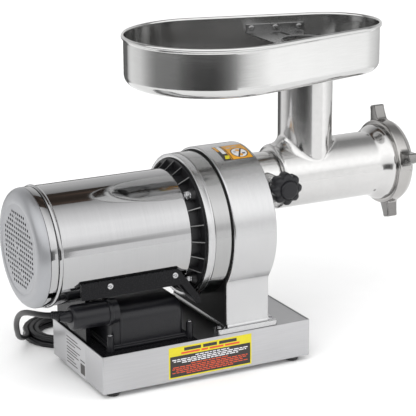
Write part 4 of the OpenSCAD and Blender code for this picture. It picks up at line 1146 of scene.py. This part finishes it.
def pan_loop(inset):
    """Two arcs joined by their tangents, with points that match from one inset to the next."""
    big, small = BIG_R - inset, SMALL_R - inset
    points = []
    edge = math.pi / 2 - SLANT
    n_small, n_big, n_side = 40, 64, 24
    for k in range(n_small):
        a = -edge + 2 * edge * k / n_small
        points.append((BIG_X + ENDS + small * math.cos(a), small * math.sin(a)))
    for k in range(n_side):
        t = k / n_side
        a = Vector((BIG_X + ENDS + small * math.cos(edge), small * math.sin(edge)))
        b = Vector((BIG_X + big * math.cos(edge), big * math.sin(edge)))
        points.append(tuple(a.lerp(b, t)))
    for k in range(n_big):
        a = edge + (math.tau - 2 * edge) * k / n_big
        points.append((BIG_X + big * math.cos(a), big * math.sin(a)))
    for k in range(n_side):
        t = k / n_side
        a = Vector((BIG_X + big * math.cos(edge), -big * math.sin(edge)))
        b = Vector((BIG_X + ENDS + small * math.cos(edge), -small * math.sin(edge)))
        points.append(tuple(a.lerp(b, t)))
    return points


def build_pan():
    s = Shape()
    bottom, wall, soft = 2.6, 1.2, 13
    outer = bow(bottom + soft, PAN_Z + soft, soft, range(-90, -181, -9))
    outer += [(bottom, z) for z in (363, 375, 388, 400.5)]
    outer += [(bottom, 402.2), (2.3, 403.2), (1.4, 404), (0.5, 404.7)]
    bead = bow(1.92, 406.45, 1.88, range(205, -10, -18), 2.5)
    inner = [(bottom + wall, 405.8), (bottom + wall, 399), (bottom + wall, 388), (bottom + wall, 375)]
    inner += bow(bottom + soft, PAN_Z + soft, soft - wall, range(-180, -89, 9))
    profile = outer + bead + inner
    s.skin([(pan_loop(i), z) for i, z in profile], caps=False)
    floor = pan_loop(bottom + soft)
    spout = THROAT_R - 0.3
    hole = circle(spout - 1.2, (NECK_X, 0), 96)
    under = circle(spout, (NECK_X, 0), 96)
    for z, inner_loop in ((PAN_Z, under), (PAN_Z + wall, hole)):
        flat, faces, _ = filled(floor, [inner_loop])
        s.add([(p[0], p[1], z) for p in flat], faces)
    low = PAN_Z - 32
    s.skin([(under, PAN_Z), (under, low + 0.4), (circle(spout - 0.4, (NECK_X, 0), 96), low),
            (circle(spout - 0.9, (NECK_X, 0), 96), low), (hole, low + 0.3), (hole, PAN_Z + wall)], caps=False)
    pan = raw(s, "feed_pan")
    # Inner walls and floor take the darker copy of the steel, which is painted shade
    for face in pan.data.polygons:
        at = face.center / MM
        out = Vector((at.x - min(max(at.x, BIG_X), BIG_X + ENDS), at.y, 0))
        inside = at.z < 405.5 and at.z > PAN_Z + 0.5 and (face.normal.dot(out) < 0 or face.normal.z > 0.5)
        face.material_index = int(inside)
    place(pan, ["pan", "feed_spout"], [LOOKS["pan_steel"], PAN_SHADED_INSIDE], sharp=50)

    guard = Shape()
    reach = BIG_R - bottom - wall - (NECK_X - BIG_X) * math.sin(SLANT) - 0.1
    at = shift(NECK_X, 0, GUARD_Z) @ Matrix.Rotation(-SLANT, 4, "Z")
    left, right, collar_r = -58, 18, 35
    arc = bow(0, 0, collar_r, [-104 + 3.8 * k for k in range(49)])
    outline = rounded([(left, reach), (-36.5, -28), (-24, -36), arc[0]], [0, 8, 12, 0],
                      6) + arc[1:] + [(right, reach)]
    slot = bow(-16, 62, 3, range(14, 195, 20)) + bow(-11, 42, 3, range(194, 375, 20))
    guard.sheet(outline, [circle(29, steps=96), slot], 0, 1.5, at)
    guard.lathe(rounded([(28.9, -0.1), (30, -0.1), (30, 3), (28.9, 3)], [0, 0, 0.4, 0.4], 3), at, 96)
    guard.block((left, reach - 1.5, 0), (right, reach, 12), 0.5, matrix=at)
    place(raw(guard, "pan_guard_plate"), ["pan_guard"], [GUARD_STEEL], bevel=0.25)

    rivets = Shape()
    for x in (-51, -20, 11):
        m = at @ shift(x, reach + 0.08, 7) @ TO_MINUS_Y
        rivets.lathe([(0, 0), (2, 0), (2, 1.58), (4, 1.58), (4, 1.9), (3.6, 2.5), (2.6, 3.0), (1.2, 3.18),
                      (0, 3.2)],
                     m, 28, closed=False)
    place(raw(rivets, "guard_rivet_heads"), ["guard_rivets"], [GUARD_STEEL], sharp=45)


build_pan()


# ---- Clamp knob and controls ----------------------------------------------------------------------

def build_knob():
    at = shift(56, 0, HEAD_Z + 6) @ TO_MINUS_Y
    steps = 160

    def lobed(shrink):
        points = []
        for k in range(steps):
            a = k * math.tau / steps
            wave = 0.5 - 0.5 * math.cos(8 * a + math.pi)
            r = 20 - 3.0 * (1 - wave) ** 1.6 - shrink
            points.append((r * math.cos(a), r * math.sin(a)))
        return points
    s = Shape()
    face, grip_back, hub_back = 84, 67, 63
    levels = [(circle(5.06, steps=steps), hub_back), (circle(10.2, steps=steps), hub_back),
              (circle(11, steps=steps), hub_back + 0.8), (circle(11, steps=steps), grip_back + 1.4),
              (lobed(7.0), grip_back + 0.6), (lobed(3.0), grip_back), (lobed(1.2), grip_back + 0.4),
              (lobed(0.3), grip_back + 1.6), (lobed(0), grip_back + 3.2), (lobed(0), face - 5.5),
              (lobed(0.5), face - 3.4),
              (lobed(1.6), face - 1.7), (lobed(3.4), face - 0.5), (lobed(5.4), face),
              (circle(12.6, steps=steps), face + 0.1), (circle(12.2, steps=steps), face - 0.5),
              (circle(11.5, steps=steps), face - 0.5), (circle(11, steps=steps), face + 0.6),
              (circle(10.6, steps=steps), face + 2.2), (circle(9.8, steps=steps), face + 2.75),
              (circle(8.4, steps=steps), face + 3), (circle(0.4, steps=steps), face + 3)]
    s.skin(levels, at, caps=False)
    s.faces.append(list(range(len(s.verts) - steps, len(s.verts))))
    s.mats.append(0)
    s.skin([(circle(5.06, steps=steps), hub_back), (circle(5.06, steps=steps), 79),
            (circle(0.4, steps=steps), 79)], at,
           caps=False)
    s.faces.append(list(range(len(s.verts) - steps, len(s.verts))))
    s.mats.append(0)
    place(raw(s, "clamp_knob_piece"), ["knob"], sharp=50)

    stud = Shape()
    profile, x = [(0, 28.6), (4.4, 28.6)], 29.2
    while x < 77:
        profile += [(5, x), (5, x + 0.55), (4.45, x + 0.95), (4.45, x + 1.15)]
        x += 1.5
    stud.lathe(profile + [(5, 78), (4.6, 78.5), (0, 78.5)], at, 40)
    place(raw(stud, "clamp_stud_piece"), ["knob_stud"], sharp=70)


build_knob()

for node, size in (("switch_body", 0.5), ("reset_body", 0.4), ("rocker", 0.7), ("reset_button", 0.6),
                   ("motor_cradle", 0.5), ("cutting_plate", 0.25), ("deck_rear", 0.3), ("deck_front", 0.3),
                   ("foot_screws", 0.2), ("knife", 0.3), ("auger", 0.4)):
    adopt(node, size)

# CAD nodes that stay as they are, mostly inside, with their finishes; the rear shield takes the black casting
# finish instead, as painted shade behind the cap's holes
for node, obj in frame["nodes"].items():
    if not obj.hide_render:
        # Painted shade: the rear shield is made black so that the view through the cap's holes stays dark
        look_of = LOOKS["black_casting" if node == "rear_shield" else SLOT_OF[node]]
        if obj.material_slots:
            for s in obj.material_slots:
                s.material = look_of
        else:
            obj.data.materials.append(look_of)


# ---- Floor and reflecting cards -------------------------------------------------------------------

def build_stage():
    floor = Shape().skin([(circle(6000, steps=96), -0.3), (circle(6000, steps=96), -0.05)])
    floor = raw(floor, "floor")
    pale = finish("floor_paper", (0.90, 0.90, 0.90), 0, 0.9, (30, 30, 30), 0.02, 0.05, 0.004, 0.02,
                  mottle=0.004)
    floor.data.materials.append(pale)

    # A low ring of panels round the object, seen only in its reflections
    glow = bpy.data.materials.new("tent_panels")
    tree = blank_tree(glow)
    coord, split = new_node(tree, "TexCoord"), new_node(tree, "SeparateXYZ")
    turn = new_node(tree, "Math", operation="ARCTAN2")
    share = new_node(tree, "Math", {1: -1 / math.tau, 2: 0.5}, operation="MULTIPLY_ADD")
    ramp = new_node(tree, "ValToRGB")
    # Brightness by the angle from the camera's side in degrees, which grows to the right
    bands = [(-180, 0.24), (-164, 0.08), (-154, 0.10), (-146, 0.16), (-138, 0.10), (-130, 0.72), (-122, 0.92),
             (-100, 0.80), (-90, 0.56), (-82, 0.38), (-72, 0.24), (-44, 0.20), (-34, 0.12), (-18, 0.06),
             (3, 0.05),
             (13, 0.09), (24, 0.20), (32, 0.36), (42, 0.68), (50, 0.90), (68, 1.12), (82, 1.32), (94, 1.22),
             (106, 1.0), (130, 0.72), (156, 0.40), (180, 0.28)]
    bright = 1.32
    ramp_stops(ramp.color_ramp, [(0.5 + angle / 360, value / bright) for angle, value in bands])
    up = new_node(tree, "MapRange", {"From Min": 0.25, "From Max": 0.33})
    fade = new_node(tree, "Mix", {"B": (1 / bright, 1 / bright, 1 / bright, 1)}, data_type="RGBA")
    emit, out = new_node(tree, "Emission", {"Strength": 1.12 * bright}), new_node(tree, "OutputMaterial")
    wire(tree, (coord, "Object", split, 0), (split, "X", turn, 0), (split, "Y", turn, 1), (turn, 0, share, 0),
         (share, 0, ramp, 0), (split, "Z", up, "Value"), (up, "Result", fade, "Factor"), (ramp, 0, fade, "A"),
         (fade, "Result", emit, "Color"), (emit, 0, out, "Surface"))
    tent = Shape().skin([(circle(950, steps=96), -2), (circle(950, steps=96), 330)], caps=False)
    tent = raw(tent, "tent")
    tent.data.materials.append(glow)
    tent.rotation_euler = (0, 0, math.pi - math.radians(27.2))
    # A dark flag above the motor, which draws the streak along the top of the polished cover
    dim = bpy.data.materials.new("flag_cloth")
    tree = blank_tree(dim)
    cloth, shade = new_node(tree, "TexNoise", {"Scale": 2.5}), new_node(tree, "ValToRGB")
    ramp_stops(shade.color_ramp, [(0.3, (0.035, 0.027, 0.022)), (0.55, (0.07, 0.055, 0.046)),
                                  (0.75, (0.20, 0.13, 0.10))])
    emit, out = new_node(tree, "Emission"), new_node(tree, "OutputMaterial")
    wire(tree, (cloth, "Fac", shade, 0), (shade, 0, emit, "Color"), (emit, 0, out, "Surface"))
    flag = raw(Shape().sheet([(-500, 20), (530, 20), (530, 700), (-500, 700)], [], 1200, 1201), "flag")
    flag.data.materials.append(dim)
    # A low bright panel on the right, below the tent's dark ones
    low = bpy.data.materials.new("low_panel")
    tree = blank_tree(low)
    emit, out = new_node(tree, "Emission", {"Strength": 1.22}), new_node(tree, "OutputMaterial")
    wire(tree, (emit, 0, out, "Surface"))
    turns = [math.radians(-90 - 27.2 + a) for a in range(34, 81, 2)]
    arc = [(930 * math.cos(a), 930 * math.sin(a), z) for z in (-1, 168) for a in turns]
    count = len(turns)
    panel = raw(Shape().add(arc, [(k, k + 1, count + k + 1, count + k) for k in range(count - 1)]),
                "low_panel")
    panel.data.materials.append(low)
    for card in (tent, flag, panel):
        card.visible_camera = card.visible_diffuse = card.visible_shadow = card.visible_transmission = False


build_stage()
